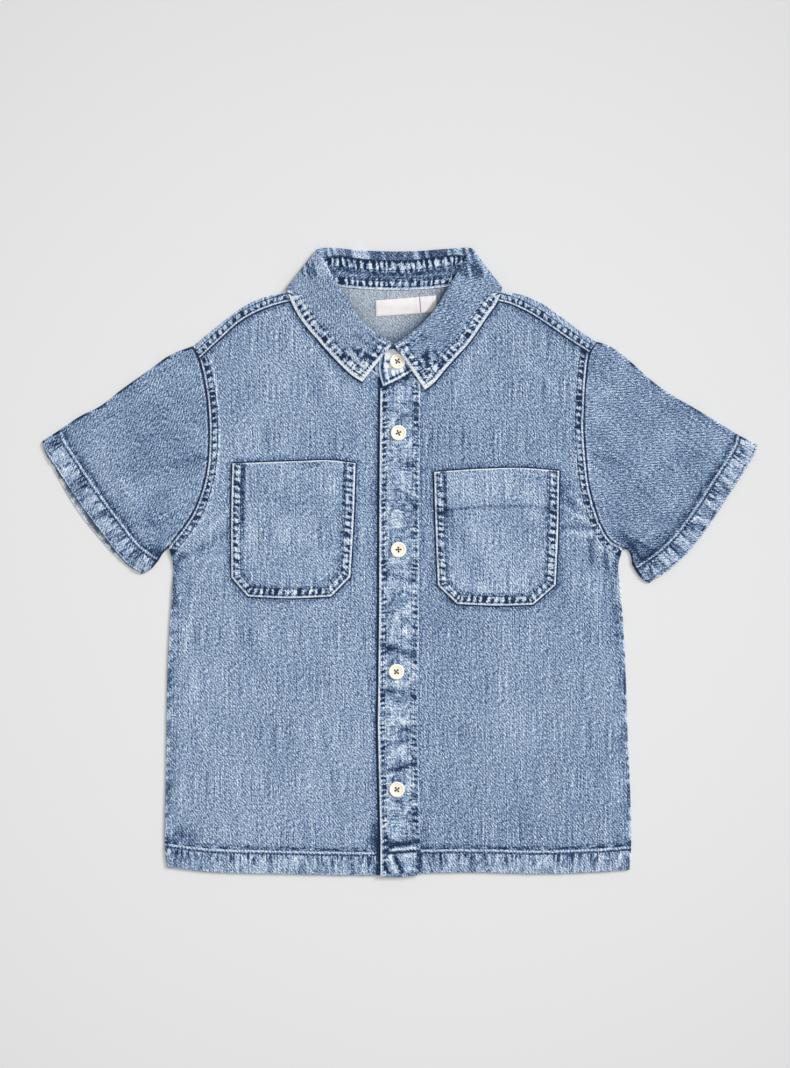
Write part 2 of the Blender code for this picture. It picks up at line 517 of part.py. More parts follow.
def sleeve(side, colour):
    """A sleeve as a flattened tube, open at the armhole and at its hem."""
    arm = armhole_points(side)
    outward = unit(np.gradient(arm, axis=0))[:, ::-1] * ((-1, 1) if side == "right" else (1, -1))
    shares = np.append(0, np.cumsum(np.linalg.norm(np.diff(arm, axis=0), axis=1)))
    shares = shares / shares[-1]
    arm = arm + (SEAM_GAP + CORNER_GAP * ease(1 - shares / UNDERARM_SHARE))[:, None] * outward
    steps = np.linspace(0, 1, 8)
    turns = np.linspace(0, 1, 4)
    hem_line = along(smooth_line(SLEEVE_HEM_LINE[side]), shares)
    under, over = (along(smooth_line(line[side]), steps) for line in (SLEEVE_UNDER, SLEEVE_TOP))
    under[0], over[0] = arm[0], arm[-1]
    upper = patch(arm, hem_line, under, over, shares, steps)
    cuff = along(smooth_line(CUFF[side]), shares)
    under, over = (along(smooth_line(line[side]), turns) for line in (HEM_UNDER, HEM_TOP))
    hem = patch(hem_line, cuff, under, over, shares, turns)
    plan = np.vstack([upper, hem[1:]])
    inset = CLOTH / 2 + (FRONT_Z - BACK_Z) / 2
    first, last = unit(plan[:, 1] - plan[:, 0]), unit(plan[:, -2] - plan[:, -1])
    plan[:, 0] += inset * first
    plan[:, -1] += inset * last
    shown = np.zeros(len(plan))
    shown[1 - len(turns) :] = turns[1:]
    spread = CUFF_SHOW * np.sin(np.pi * shares) if side == "right" else 0 * shares
    past = unit(cuff - hem_line) * spread[:, None]
    low = plan + shown[:, None, None] * past
    over_z, under_z = front_height(plan[..., 0], plan[..., 1]), np.full(plan.shape[:2], BACK_Z)
    top_layer, low_layer = np.dstack([plan, over_z]), np.dstack([low, under_z])

    def fold(column, away):
        """Points round a folded edge, from the upper layer down to the lower one."""
        start, end = top_layer[:, column], low_layer[:, column]
        ring = []
        for angle in np.linspace(np.pi / 2, -np.pi / 2, FOLD_STEPS + 1)[1:-1]:
            middle = (start + end) / 2 + (start - end) / 2 * np.sin(angle)
            middle[:, :2] -= away * (FRONT_Z - BACK_Z) / 2 * np.cos(angle)
            ring.append(middle)
        return np.stack(ring, 1)

    loop = [top_layer, fold(-1, last), low_layer[:, ::-1], fold(0, first)[:, ::-1], top_layer[:, :1]]
    grid = np.concatenate(loop, axis=1)
    turned = np.zeros(grid.shape[:2])
    turned[len(steps) - 1 :, 1 : plan.shape[1] - 1] = TURNED
    if side == "left":
        grid, turned = grid[:, ::-1], turned[:, ::-1]
    return cloth("sleeve_" + side, [(grid, CLOTH / 2 + turned, CLOTH / 2)], colour)


def placket(colour):
    """The double band down the left front that laps over the right one."""
    columns = np.linspace(0, 1, 5)
    waist = np.column_stack([PLACKET_HALF * (2 * columns - 1), np.full(5, ARMHOLE["right"][0][1])])
    patches = []
    low = along(smooth_line(PLACKET_BOTTOM), columns, "x")
    high = along(smooth_line(PLACKET_TOP), columns, "x")
    for foot, head, rows in ((low, waist, BODY_ROWS), (waist, high, CHEST_ROWS)):
        rows = np.array(rows)
        ends = [foot[end] + rows[:, None] * (head[end] - foot[end]) for end in (0, -1)]
        grid = raised(patch(foot, head, *ends, columns, rows), front_height)
        extra = TURNED * (rows <= BODY_ROWS[2])[:, None] if foot is low else 0
        under = CLOTH / 2 + SEAM_GAP + extra
        patches.append((grid, under + PLACKET_WALL, -np.broadcast_to(under, grid.shape[:2])))
    return cloth("placket", patches, colour, upright=True)


def pocket(side, colour):
    """A patch pocket with cut lower corners, laid on its front."""
    edges = {name: smooth_line(line) for name, line in POCKETS[side].items()}
    columns = np.array(POCKET_COLUMNS)
    bottom = np.vstack([smooth_line(POCKETS[side]["bottom"][:2]),
                        smooth_line(POCKETS[side]["bottom"][1:-1])[1:],
                        smooth_line(POCKETS[side]["bottom"][-2:])[1:]])
    low, high = along(bottom, columns, "x"), along(edges["top"], columns, "x")
    height = high[0, 1] - low[0, 1]
    hem = 1 - POCKET_HEM / height
    rows = np.append(np.linspace(0, hem, 7), [hem + STEP_RUN / height, (1 + hem) / 2, 1])
    left, right = (along(edges[name], rows, "y") for name in ("outer", "inner"))
    grid = raised(patch(low, high, left, right, columns, rows), front_height)
    under = CLOTH / 2 + SEAM_GAP
    over = under + POCKET_WALL + TURNED * (rows > hem + 1e-6)[:, None]
    return cloth("pocket_" + side, [(grid, over, -under)], colour, upright=True)


def nearest(line, point):
    return line[np.linalg.norm(line - point, axis=1).argmin()]


def collar_sections():
    """The collar's sections in order from the right front end to the left one, as named columns."""
    back_neck = smooth_line(NECK_BACK)
    table = []
    runs = (("right", COLLAR["right"][::-1]), ("back", [COLLAR_CENTRE]), ("left", COLLAR["left"]))
    for side, rows in runs:
        for row in rows:
            row = np.array(row, float)
            neck = back_neck if row[10] < 0.5 else smooth_line(NECK_FRONT[side])
            row[:2] = nearest(neck, row[:2])
            table.append(row)
    return smooth_table(np.array(table), COLLAR_STEPS)


def smooth_table(table, steps):
    """More rows for a table: a smooth curve through its rows, read `steps` times in each span."""
    dense = smooth_line(table, 8)
    return dense[:: 8 // steps]


def stand_base(sections):
    """Heights of the neck seam and of the fall's free edge at each section."""
    neck, edge, over = sections[:, :2], sections[:, 5:7], sections[:, 10]
    on_front = front_height(*neck.T)
    climb, sink = np.array(STAND_CLIMB), np.array(STAND_SINK)
    in_front = over > 0.99
    on_front += np.interp(neck[:, 0], *climb.T) * (neck[:, 0] > 0) * in_front
    on_front -= np.interp(neck[:, 0], *sink.T) * (neck[:, 0] < 0) * in_front
    neck_z = (1 - over) * (back_height(*neck.T) + NECK_SEAM_RISE) + over * on_front
    resting = front_height(*edge.T) + CLOTH / 2 + SEAM_GAP + LEAF_WALL / 2 + sections[:, 7]
    edge_z = (1 - over) * FALL_Z + over * resting
    return neck_z, edge_z


def collar(colour):
    """The stand, and the fall that rolls over it."""
    sections = collar_sections()
    neck_z, edge_z = stand_base(sections)
    neck = np.column_stack([sections[:, :2], neck_z])
    roll, edge = sections[:, 2:5], np.column_stack([sections[:, 5:7], edge_z])
    outward = unit(edge - roll)
    roll = roll + outward * LEAF_WALL / 2
    level = unit(np.column_stack([-outward[:, 1], outward[:, 0], 0 * neck_z]))
    inside = np.sign(((neck - roll) * level).sum(-1, keepdims=True) * (np.abs(sections[:, 11:12]) < 89))
    level = level * np.where(inside == 0, 1, inside)
    turn = np.radians(sections[:, 11:12])
    across = np.cos(turn) * level + np.sin(turn) * np.cross(outward, level) * np.sign(
        np.cross(outward, level)[:, 2:])
    reach = np.linalg.norm(roll[:, :2] - neck[:, :2], axis=1)
    share = (1 - sections[:, 8] / reach)[:, None]
    top = neck + share * (roll - neck)
    top[:, 2] = neck_z + sections[:, 9]

    seam_run = np.gradient(neck[:, :2], axis=0)
    into_neck = unit(np.column_stack([seam_run[:, 1], -seam_run[:, 0], 0 * neck_z]))
    into_neck *= np.where(sections[:, 10:11] > 0.5, 1, -1)
    stand = [neck + (SEAM_GAP + CORNER_GAP * np.cos(turn)) * into_neck]
    for part in STAND_SHARES:
        point = neck + part * (top - neck)
        point[:, 2] = neck_z + (top[:, 2] - neck_z) * part**2
        stand.append(point)
    stand = np.stack(stand, 1)
    over = stand_end(STAND_OVERLAP, stand[-1], OVERLAP_Z)
    under = stand_end(STAND_UNDERLAP, stand[0], UNDERLAP_Z)
    stand = np.concatenate([under[::-1], stand, over])
    cloth("collar_stand", [(stand[:, ::-1], STAND_WALL / 2, STAND_WALL / 2)], colour)

    start = roll + ROLL_RADIUS * (outward + across)
    between = stand[len(under) : -len(over)]
    leave, arrive = unit(between[:, -1] - between[:, -2]), unit(start - top)
    bend = np.linalg.norm(np.cross(leave, arrive), axis=1, keepdims=True)
    first = top + (SEAM_GAP + LEAF_WALL / 2 * bend + ROLL_CORNER_GAP * np.cos(turn)) * arrive
    fall = [first, (first + start) / 2]
    for angle in np.radians(ROLL_ANGLES):
        fall.append(roll + ROLL_RADIUS * (outward * (1 - np.cos(angle)) + across * np.sin(angle)))
    last = fall[-1]
    for part in LEAF_SHARES:
        fall.append(last + part * (edge - last))
    cloth("collar_fall", [(np.stack(fall, 1)[:, ::-1], LEAF_WALL / 2, LEAF_WALL / 2)], colour)


def stand_end(rows, last, height):
    """Sections of the stand past the fall, flat over the front at a height above its middle."""
    ends = []
    for neck_x, neck_y, top_x, top_y, bulge in rows:
        section = []
        for part in np.linspace(0, 1, len(last)):
            x = neck_x + part * (top_x - neck_x) - bulge * np.sin(np.pi * part)
            y = neck_y + SEAM_GAP + part * (top_y - neck_y - SEAM_GAP)
            section.append((x, y, 0))
        section = np.array(section)
        section[:, 2] = front_height(section[:, 0], section[:, 1]) + height
        ends.append(section)
    return np.array(ends)


def label(name, colour):
    """A flat woven label on the inside of the back."""
    a, b, c, d = np.array(LABELS[name], float)
    shares = np.linspace(0, 1, 4)
    edges = (along(np.array(line), shares) for line in ((a, b), (d, c), (a, d), (b, c)))
    plan = patch(*edges, shares, shares)
    under = CLOTH / 2 + SEAM_GAP
    return cloth(name, [(raised(plan, back_height), under + LABEL_WALL, -under)], colour, upright=True)


def button(name, x, y, base):
    """A turned four-hole button: a rounded rim round a dished face."""
    angle = np.linspace(0, 2 * np.pi, BUTTON_SIDES, endpoint=False)
    circle = np.column_stack([np.cos(angle), np.sin(angle), 0 * angle]) * BUTTON_RADIUS
    foot = np.array([x, y, base])
    rise = np.array([0, 0, BUTTON_THICK])
    rings = [foot + share * circle + height * rise for share, height in BUTTON_PROFILE[1:-1]]
    points = np.vstack([foot, *rings, foot + BUTTON_PROFILE[-1][1] * rise])
    after = np.roll(np.arange(BUTTON_SIDES), -1)
    index = 1 + np.arange(len(rings) * BUTTON_SIDES).reshape(-1, BUTTON_SIDES)
    faces = [(0, index[0, after[side]], index[0, side]) for side in range(BUTTON_SIDES)]
    for low, high in zip(index, index[1:]):
        faces += np.stack([low, low[after], high[after], high], -1).tolist()
    faces += [(len(points) - 1, index[-1, side], index[-1, after[side]]) for side in range(BUTTON_SIDES)]
    item = piece(name, points, faces, BUTTON_SHELL, BUTTON_ROUGHNESS)
    for number, (right, up) in enumerate(((1, 1), (-1, 1), (-1, -1), (1, -1))):
        at = foot + BUTTON_HOLE_OFFSET * np.array([right, up, 0])
        bpy.ops.mesh.primitive_cylinder_add(
            vertices=6, radius=BUTTON_HOLE_RADIUS * MM, depth=3 * BUTTON_THICK * MM, location=at * MM
        )
        cutter = bpy.context.object
        cutter.name = f"{name}_hole_{number}"
        cutter.hide_render = True
        cutter.display_type = "WIRE"
        cut = item.modifiers.new(cutter.name, "BOOLEAN")
        cut.object = cutter
        cut.operation = "DIFFERENCE"


def main():
    for item in list(bpy.data.objects):
        bpy.data.objects.remove(item, do_unlink=True)
    back(INNER_DENIM)
    front("right", UNDERLAP_X, DENIM)
    front("left", OVERLAP_X, DENIM)
    sleeve("right", DENIM)
    sleeve("left", DENIM)
    placket(PALE_DENIM)
    pocket("right", PALE_DENIM)
    pocket("left", PALE_DENIM)
    collar(DENIM)
    label("neck_label", LABEL_CLOTH)
    label("size_label", LABEL_CLOTH)
    for number, (x, y) in enumerate(BUTTONS, 1):
        middle = front_height(np.array([x]), np.array([y]))[0]
        layers = OVERLAP_Z + STAND_WALL / 2 if number == 1 else CLOTH / 2 + SEAM_GAP + PLACKET_WALL
        button(f"button_{number}", x, y, middle + layers + SEAM_GAP)


main()
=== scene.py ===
# %% [markdown]
# # A child's denim shirt, laid flat
#
# The shirt lies on its back with its buttons closed. Its solid model gives every piece its place and
# thickness. This lesson makes the cloth fine enough to crease, pucker and wear as real denim does.
# Sizes are in millimetres until a mesh is made, and in metres from there on.

import bpy
import numpy as np
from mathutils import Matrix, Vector
from mathutils.bvhtree import BVHTree


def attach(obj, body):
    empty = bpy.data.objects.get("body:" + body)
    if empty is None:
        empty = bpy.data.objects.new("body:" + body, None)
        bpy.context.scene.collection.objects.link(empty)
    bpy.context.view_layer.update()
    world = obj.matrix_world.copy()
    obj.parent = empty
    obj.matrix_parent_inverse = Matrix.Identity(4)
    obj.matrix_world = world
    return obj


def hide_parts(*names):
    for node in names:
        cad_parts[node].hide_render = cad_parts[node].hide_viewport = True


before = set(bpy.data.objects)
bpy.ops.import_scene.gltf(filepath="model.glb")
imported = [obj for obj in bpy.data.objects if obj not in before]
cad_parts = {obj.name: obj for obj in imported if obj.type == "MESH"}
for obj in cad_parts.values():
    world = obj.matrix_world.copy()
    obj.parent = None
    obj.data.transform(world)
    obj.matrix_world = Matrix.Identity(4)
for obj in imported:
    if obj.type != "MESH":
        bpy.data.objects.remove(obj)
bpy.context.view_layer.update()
MM = 0.001

# %% [markdown]
# ## Materials as sums of signals
#
# A finish is worked out from what a point knows about itself: where it lies in the weave, how far it
# is from a seam. Each such value is a signal. Signals are added and multiplied like numbers here, and
# every sum or product becomes a Math node of the material.

# %% Materials as sums of signals
def plug(socket, value):
    """Feeds a socket from a signal, or sets it to a plain value."""
    if isinstance(value, Signal):
        value.tree.links.new(value.socket, socket)
    elif value is not None:
        socket.default_value = value


def add(tree, kind, *values, output=0, **settings):
    """A node with its settings and its first inputs filled. Gives one of its outputs."""
    node = tree.nodes.new(kind)
    for name, value in settings.items():
        setattr(node, name, value)
    for socket, value in zip(node.inputs, values):
        plug(socket, value)
    return Signal(tree, node.outputs[output])


class Signal:
    """A socket that takes part in sums and products."""

    def __init__(self, tree, socket):
        self.tree, self.socket = tree, socket

    def calc(self, operation, *others):
        """One Math node on this signal and others."""
        return add(self.tree, "ShaderNodeMath", self, *others, operation=operation)

    def __add__(self, other):
        return self.calc("ADD", other)

    def __sub__(self, other):
        return self.calc("SUBTRACT", other)

    def __mul__(self, other):
        return self.calc("MULTIPLY", other)

    def __abs__(self):
        return self.calc("ABSOLUTE")

    __radd__, __rmul__ = __add__, __mul__

    def step(self, start, end, low=0.0, high=1.0):
        """An eased change from `low` to `high` while this signal goes from `start` to `end`."""
        return add(self.tree, "ShaderNodeMapRange", self, start, end, low, high,
                   interpolation_type="SMOOTHSTEP")

    def off_middle(self, length):
        """How far off the middle of its own stretch of a length each point is, as a share."""
        return abs((self * (1 / length)).calc("FRACT") - 0.5)

    def scaled(self, *factors):
        """This vector with its three parts multiplied."""
        return add(self.tree, "ShaderNodeVectorMath", self, factors, operation="MULTIPLY")

    def parts(self):
        """The three parts of this vector."""
        node = self.tree.nodes.new("ShaderNodeSeparateXYZ")
        plug(node.inputs[0], self)
        return [Signal(self.tree, socket) for socket in node.outputs]

    def uneven(self, cell_x, cell_y, detail=1.0):
        """Noise about 0 whose patches are `cell_x` by `cell_y` of this vector's units."""
        place = self.scaled(1 / cell_x, 1 / cell_y, 1)
        return add(self.tree, "ShaderNodeTexNoise", place, None, 1.0, detail, noise_dimensions="2D") - 0.5


print("a signal also has:", [name for name in vars(Signal) if not name.startswith("_")])

# %% [markdown]
# ## Helpers for materials
#
# Every material starts from one shader, whose plain values are set on its own sockets. What varies
# is a colour mixed by a share, or a bump from a height. Colours are given as a screen shows them.

# %% Helpers for materials
def new_material(name, finish):
    """A material, its tree and its shader's sockets, with the values of its finish set on them."""
    material = bpy.data.materials.new(name)
    material.use_nodes = True
    sockets = material.node_tree.nodes["Principled BSDF"].inputs
    for label, value in finish.items():
        sockets[label].default_value = value
    return material, material.node_tree, sockets


def speckle(tree, scale, detail=2.0):
    """Noise in the object's own coordinates, from 0 to 1."""
    place = add(tree, "ShaderNodeTexCoord", output="Object")
    return add(tree, "ShaderNodeTexNoise", place, None, scale, detail)


def mark(tree, name, output="Vector"):
    """What every point of a piece keeps under a name."""
    return add(tree, "ShaderNodeAttribute", output=output, attribute_name=name)


def blend(tree, share, first, second):
    """One colour for a share of 0, another one for 1."""
    node = tree.nodes.new("ShaderNodeMix")
    node.data_type = "RGBA"
    for place, value in ((0, share), (6, (*first, 1)), (7, (*second, 1))):
        plug(node.inputs[place], value)
    return Signal(tree, node.outputs[2])


def relief(tree, height, strength, depth):
    """A bump from a height."""
    node = tree.nodes.new("ShaderNodeBump")
    for label, value in (("Height", height), ("Strength", strength), ("Distance", depth)):
        plug(node.inputs[label], value)
    return Signal(tree, node.outputs[0])


def linear(red, green, blue):
    """A colour given as it shows on a screen, from 0 to 255, turned into light."""
    share = np.array([red, green, blue]) / 255
    return tuple(np.where(share <= 0.04045, share / 12.92, ((share + 0.055) / 1.055) ** 2.4))


def plain_material(name, colour, roughness):
    """A matt material with slow, slight changes of tone."""
    material, tree, shader = new_material(name, {"Roughness": roughness})
    plug(shader["Base Color"], blend(tree, speckle(tree, 3.0), [0.985 * part for part in colour], colour))
    return material


print("half grey on a screen is this share of the light:", round(linear(128, 128, 128)[0], 2))

# %% [markdown]
# ## Table, light and camera
#
# Flat garments are shown from straight above on a pale table. A wide soft lamp to the right gives
# each edge a faint shadow on its left, and a weaker one and the pale surroundings fill the rest in.
# A long lens far away keeps the near and far parts of the shirt at one scale.

# %% Table, light and camera
bpy.context.scene.view_settings.view_transform = "Standard"
VIEW_CENTRE, VIEW_HEIGHT = (-3.65, 20.26), 779.6
CAMERA_DISTANCE, CLOTH_LEVEL, SENSOR = 2.0, 3.0, 36.0


def link(name, data):
    """A new object of the scene."""
    item = bpy.data.objects.new(name, data)
    bpy.context.scene.collection.objects.link(item)
    return item


def lay_table(half=9.0, drop=0.0002):
    """A wide flat square just under the cloth."""
    mesh = bpy.data.meshes.new("table")
    corners = [(-half, -half, -drop), (half, -half, -drop), (half, half, -drop), (-half, half, -drop)]
    mesh.from_pydata(corners, [], [(0, 1, 2, 3)])
    mesh.materials.append(plain_material("pale table", linear(228, 228, 228), 0.9))
    link("table", mesh)


def hang_lamp(name, kind, place, strength, **shape):
    """A lamp that points at the middle of the shirt."""
    lamp = bpy.data.lights.new(name, kind)
    lamp.energy = strength
    for key, value in shape.items():
        setattr(lamp, key, value)
    item = link(name, lamp)
    item.location = place
    item.rotation_euler = (-Vector(place)).to_track_quat("-Z", "Y").to_euler()


def set_camera():
    """A camera straight above, whose frame is as high as `VIEW_HEIGHT` on the cloth."""
    camera = bpy.data.cameras.new("camera")
    camera.sensor_fit = "VERTICAL"
    camera.sensor_height = SENSOR
    camera.lens = SENSOR * CAMERA_DISTANCE / (VIEW_HEIGHT * MM)
    item = link("camera", camera)
    item.location = (VIEW_CENTRE[0] * MM, VIEW_CENTRE[1] * MM, CAMERA_DISTANCE + CLOTH_LEVEL * MM)
    bpy.context.scene.camera = item
    print("lens:", round(camera.lens, 1), "mm")


lay_table()
hang_lamp("right window", "SUN", (1.3, 0.9, 1.4), 1.8, angle=np.radians(20))
hang_lamp("overhead pool", "SPOT", (0.5, 0.3, 2.6), 92, spot_size=np.radians(38), spot_blend=1.0,
          shadow_soft_size=0.4)
set_camera()
world = bpy.data.worlds.new("pale room")
world.use_nodes = True
world.node_tree.nodes["Background"].inputs["Color"].default_value = (1, 1, 1, 1)
world.node_tree.nodes["Background"].inputs["Strength"].default_value = 0.385
bpy.context.scene.world = world

# %% [markdown]
# ## Lines and distances
#
# A pattern cutter draws seams as smooth curves through a few points. These helpers do the same, read
# a curve at even steps, and say for any point how far along a seam it lies and how far from it.

# %% Lines and distances
def smooth_line(points, steps=16):
    """Points along a centripetal Catmull-Rom curve through `points`."""
    points = np.asarray(points, float)
    if len(points) == 2:
        share = np.linspace(0, 1, steps + 1)[:, None]
        return points[0] + share * (points[1] - points[0])
    ends = np.vstack([2 * points[0] - points[1], points, 2 * points[-1] - points[-2]])
    share = np.linspace(0, 1, steps, endpoint=False)[:, None]
    line = []
    for before, start, end, after in zip(ends, ends[1:], ends[2:], ends[3:]):
        knots = [np.linalg.norm(b - a) ** 0.5 for a, b in ((before, start), (start, end), (end, after))]
        leave = (start - before) / knots[0] - (end - before) / (knots[0] + knots[1])
        leave += (end - start) / knots[1]
        arrive = (end - start) / knots[1] - (after - start) / (knots[1] + knots[2])
        arrive += (after - end) / knots[2]
        line.append(
            (2 * share**3 - 3 * share**2 + 1) * start
            + (share**3 - 2 * share**2 + share) * leave * knots[1]
            + (3 * share**2 - 2 * share**3) * end
            + (share**3 - share**2) * arrive * knots[1]
        )
    return np.vstack([*line, points[-1:]])


def lengths(line):
    """How far along a line each of its points lies."""
    return np.append(0, np.cumsum(np.linalg.norm(np.diff(line, axis=0), axis=1)))


def along(line, shares, by="length"):
    """Points of a line at shares of its length, or of its extent in x or y."""
    if by == "length":
        measure = lengths(line)
    else:
        measure = np.abs(line[:, "xy".index(by)] - line[0, "xy".index(by)])
    measure = measure / measure[-1]
    return np.stack([np.interp(shares, measure, line[:, axis]) for axis in range(line.shape[1])], -1)


def unit(vectors):
    """Vectors divided by their own lengths."""
    return vectors / np.linalg.norm(vectors, axis=-1, keepdims=True)


def ease(share):
    """A step from 0 to 1 that starts and ends level: 3 s^2 - 2 s^3."""
    share = np.clip(share, 0, 1)
    return share * share * (3 - 2 * share)


def bell(value, middle, half):
    """A soft ridge, 1 at its middle: exp(-((value - middle) / half)^2)."""
    return np.exp(-(((value - middle) / half) ** 2))


def seam_frame(line, x, y):
    """(how far along a line, how far away from it) for the nearest point of the line to each (x, y)."""
    start, run = line[:-1, :2], np.diff(line[:, :2], axis=0)
    reach = np.maximum((run * run).sum(1), 1e-9)
    before = lengths(line[:, :2])[:-1]
    at = np.stack([np.ravel(x), np.ravel(y)], 1)
    u, v = np.empty(len(at)), np.empty(len(at))
    for part in np.array_split(np.arange(len(at)), len(at) // 4000 + 1):
        gap = at[part, None] - start
        share = np.clip((gap * run).sum(-1) / reach, 0, 1)
        away = np.linalg.norm(gap - share[..., None] * run, axis=-1)
        best = away.argmin(1)
        row = np.arange(len(part))
        v[part] = away[row, best]
        u[part] = before[best] + share[row, best] * reach[best] ** 0.5
    return u.reshape(np.shape(x)), v.reshape(np.shape(x))


def distance_to(line, x, y):
    """How far each (x, y) is from the nearest point of a line."""
    return seam_frame(line, x, y)[1]


def on_own_side(frames, x):
    """Of a value for the right seam and one for the left, the one on each point's own side."""
    return [np.where(x < 0, right, left) for right, left in zip(*frames)]


corner = smooth_line([(0, 0), (10, 0), (10, 10)])
print("a curve round the corner of a 10 mm square:", round(lengths(corner)[-1], 1), "mm")

# %% [markdown]
# ## Random unevenness, steps and patches
#
# Washed cloth goes up and down slowly: random values on a net, eased in between. A grid of cloth
# takes short steps near a stitched edge and longer ones elsewhere, and fills the space between
# four seams.

# %% Random unevenness, steps and patches
def cloud(x, y, cell_x, cell_y, seed):
    """Smooth random values from -1 to 1: random ones at the corners of a net, eased in between."""
    net = np.random.default_rng(seed).uniform(-1, 1, (256, 256))
    x, y = np.asarray(x) / cell_x + 997, np.asarray(y) / cell_y + 997
    i, j = np.floor(x).astype(int), np.floor(y).astype(int)
    a, b = ease(x - i), ease(y - j)
    near = (1 - a) * net[i % 256, j % 256] + a * net[(i + 1) % 256, j % 256]
    far = (1 - a) * net[i % 256, (j + 1) % 256] + a * net[(i + 1) % 256, (j + 1) % 256]
    return (1 - b) * near + b * far


def graded(length, start=0, end=0, fine=1.0, coarse=1.8):
    """Shares of a length: short steps over its first `start` and last `end` mm, longer ones between."""
    lip = np.array([0, 0.3, 0.7])
    first, last = (np.append(lip, np.arange(1.2, run, fine)) if run else np.zeros(1) for run in (start, end))
    middle = np.linspace(start, length - end, max(2, round((length - start - end) / coarse) + 1))
    steps = np.concatenate([first, middle, length - last[::-1]])
    return np.unique(np.round(steps / length, 6))


def patch(low, high, start, end, across, up):
    """Plan points of a four-sided patch: opposite edges blended, less the blend of its corners (Coons)."""
    a, u = np.asarray(across)[None, :, None], np.asarray(up)[:, None, None]
    corners = (1 - a) * (1 - u) * low[0] + a * (1 - u) * low[-1] + (1 - a) * u * high[0] + a * u * high[-1]
    return (1 - u) * low + u * high + (1 - a) * start[:, None] + a * end[:, None] - corners


print("steps over 100 mm with a fine edge:", len(graded(100, start=10)))

# %% [markdown]
# ## The pattern: layers
#
# How thick the cloth is, how high its layers lie and how deep its hems are. These sizes and the seam
# lines are the same as those of the solid model, so each finer piece lies inside the solid that it
# stands for.

# %% The pattern: layers
CLOTH, TURNED = 1.0, 0.6
POCKET_WALL, PLACKET_WALL, STAND_WALL, LEAF_WALL = 1.2, 1.6, 1.4, 1.5
SEAM_GAP, CORNER_GAP, ROLL_CORNER_GAP = 0.3, 1.6, 2.4
BACK_Z = CLOTH / 2
FALL_Z = LEAF_WALL / 2 + 0.08
NECK_SEAM_RISE = 0.3
FRONT_Z = BACK_Z + CLOTH + SEAM_GAP
RESTING = CLOTH / 2 + SEAM_GAP
INNER_FACE = CLOTH / 2 - 0.1
LOFT, LOFT_RUN = 1.4, 30.0
COLLAR_RAISE, COLLAR_RAISE_RUN, RAISE_MARGIN = 2.1, 14.0, 2.0
NECK_LIFT, NECK_LIFT_RUN = 0.3, 8.0
FOLD_START = 12.0
ROLL_RADIUS = 1.1
OVERLAP_Z, UNDERLAP_Z = 1.5, -0.5
HEM_DEPTH = 16.5
FELL_WIDTH, STEP_RUN = 7.0, 1.5
POCKET_HEM = 28.0
PLACKET_HALF = 14.6
UNDERLAP_X, OVERLAP_X = 7.4, 8.0
CUFF_DEPTH, CUFF_SHOW = 15.2, 4.5
NECK_SHARE = 0.553
SEAM_SHARE = 0.94
FOLD_RADIUS = (FRONT_Z - BACK_Z) / 2
# Lengths in millimetres that the steps of the grids are spread over.
SIDE_RUN, ARMHOLE_RUN, SHOULDER_RUN, NECK_RUN = 235, 163, 98, 79
ARM_WIDTH, ARM_RUN, CUFF_RUN = 168, 96, 15
PLACKET_LOWER_RUN, PLACKET_UPPER_RUN = 240, 122
POCKET_WIDTH, POCKET_RUN = 89, 98
STAND_RUN, LEAF_RUN = 22, 34
# Levels of y: the fall's edge lies on the front below the first, the neck's foot is at the second.
FALL_FRONT_Y, NECK_FOOT_Y = 193, 130
SIDES = ("right", "left")
print("level of the fronts:", FRONT_Z, "mm, height of a folded edge:", round(2 * FOLD_RADIUS + CLOTH, 2))

# %% [markdown]
# ## The pattern: seam lines
#
# The seam lines of the shirt as it lies, measured from the middle of its foot. Each is a curve
# through a few points. "right" and "left" are the wearer's.

# %% The pattern: seam lines
HEM = [(-169.4, -223), (-140, -226.5), (-88, -228), (-20, -229), (16, -227.5), (58, -227),
       (102, -228), (146, -226.5), (167.6, -225)]
SIDE = {
    "right": [(-169.4, -223), (-171.4, -212), (-170.8, -150), (-169.4, -72), (-166.4, -20),
              (-165.3, -5), (-168.6, 10.5)],
    "left": [(167.6, -225), (168.8, -210), (168.4, -174), (166.4, -126), (164, -60), (161, -20),
             (159.4, -4), (162.4, 9.5)],
}
ARMHOLE = {
    "right": [(-168.6, 10.5), (-157, 25.4), (-149.7, 37), (-143.8, 52.4), (-140.2, 68.4),
              (-138.7, 91), (-139.4, 111), (-141.6, 129), (-146.3, 148.6), (-150.8, 157.8)],
    "left": [(162.4, 9.5), (153.3, 15.1), (146, 26.8), (140.9, 40.7), (137.2, 56), (135.1, 74.3),
             (133.6, 96.2), (134, 111), (135.1, 132.7), (138, 153), (143, 161)],
}
SHOULDER_FOLD = {
    "right": [(-150.8, 157.8), (-138.7, 167.7), (-124.1, 179.2), (-109.5, 189), (-94.9, 194.3),
              (-81, 196.8), (-70, 201), (-61.2, 206.2)],
    "left": [(143, 161), (131.4, 168.4), (116.8, 179.4), (102.2, 189.4), (87.6, 195.2),
             (73, 197.6), (65, 201.5), (58, 206.7)],
}
SHOULDER_SEAM = {
    "right": [(-146.3, 148.6), (-131.4, 162.6), (-116.8, 175.5), (-102.2, 183.5), (-87.6, 188.6),
              (-79, 190.5), (-62.6, 195.2)],
    "left": [(138, 153), (124.1, 161.9), (109.5, 172.1), (94.9, 181.5), (80.3, 188.3),
             (70.8, 190.8), (59.8, 195.6)],
}
NECK_BACK = [(-60, 206.5), (-43.8, 200.6), (-21.9, 198.7), (0, 198), (21.9, 199.1), (40, 201.6),
             (57, 207)]
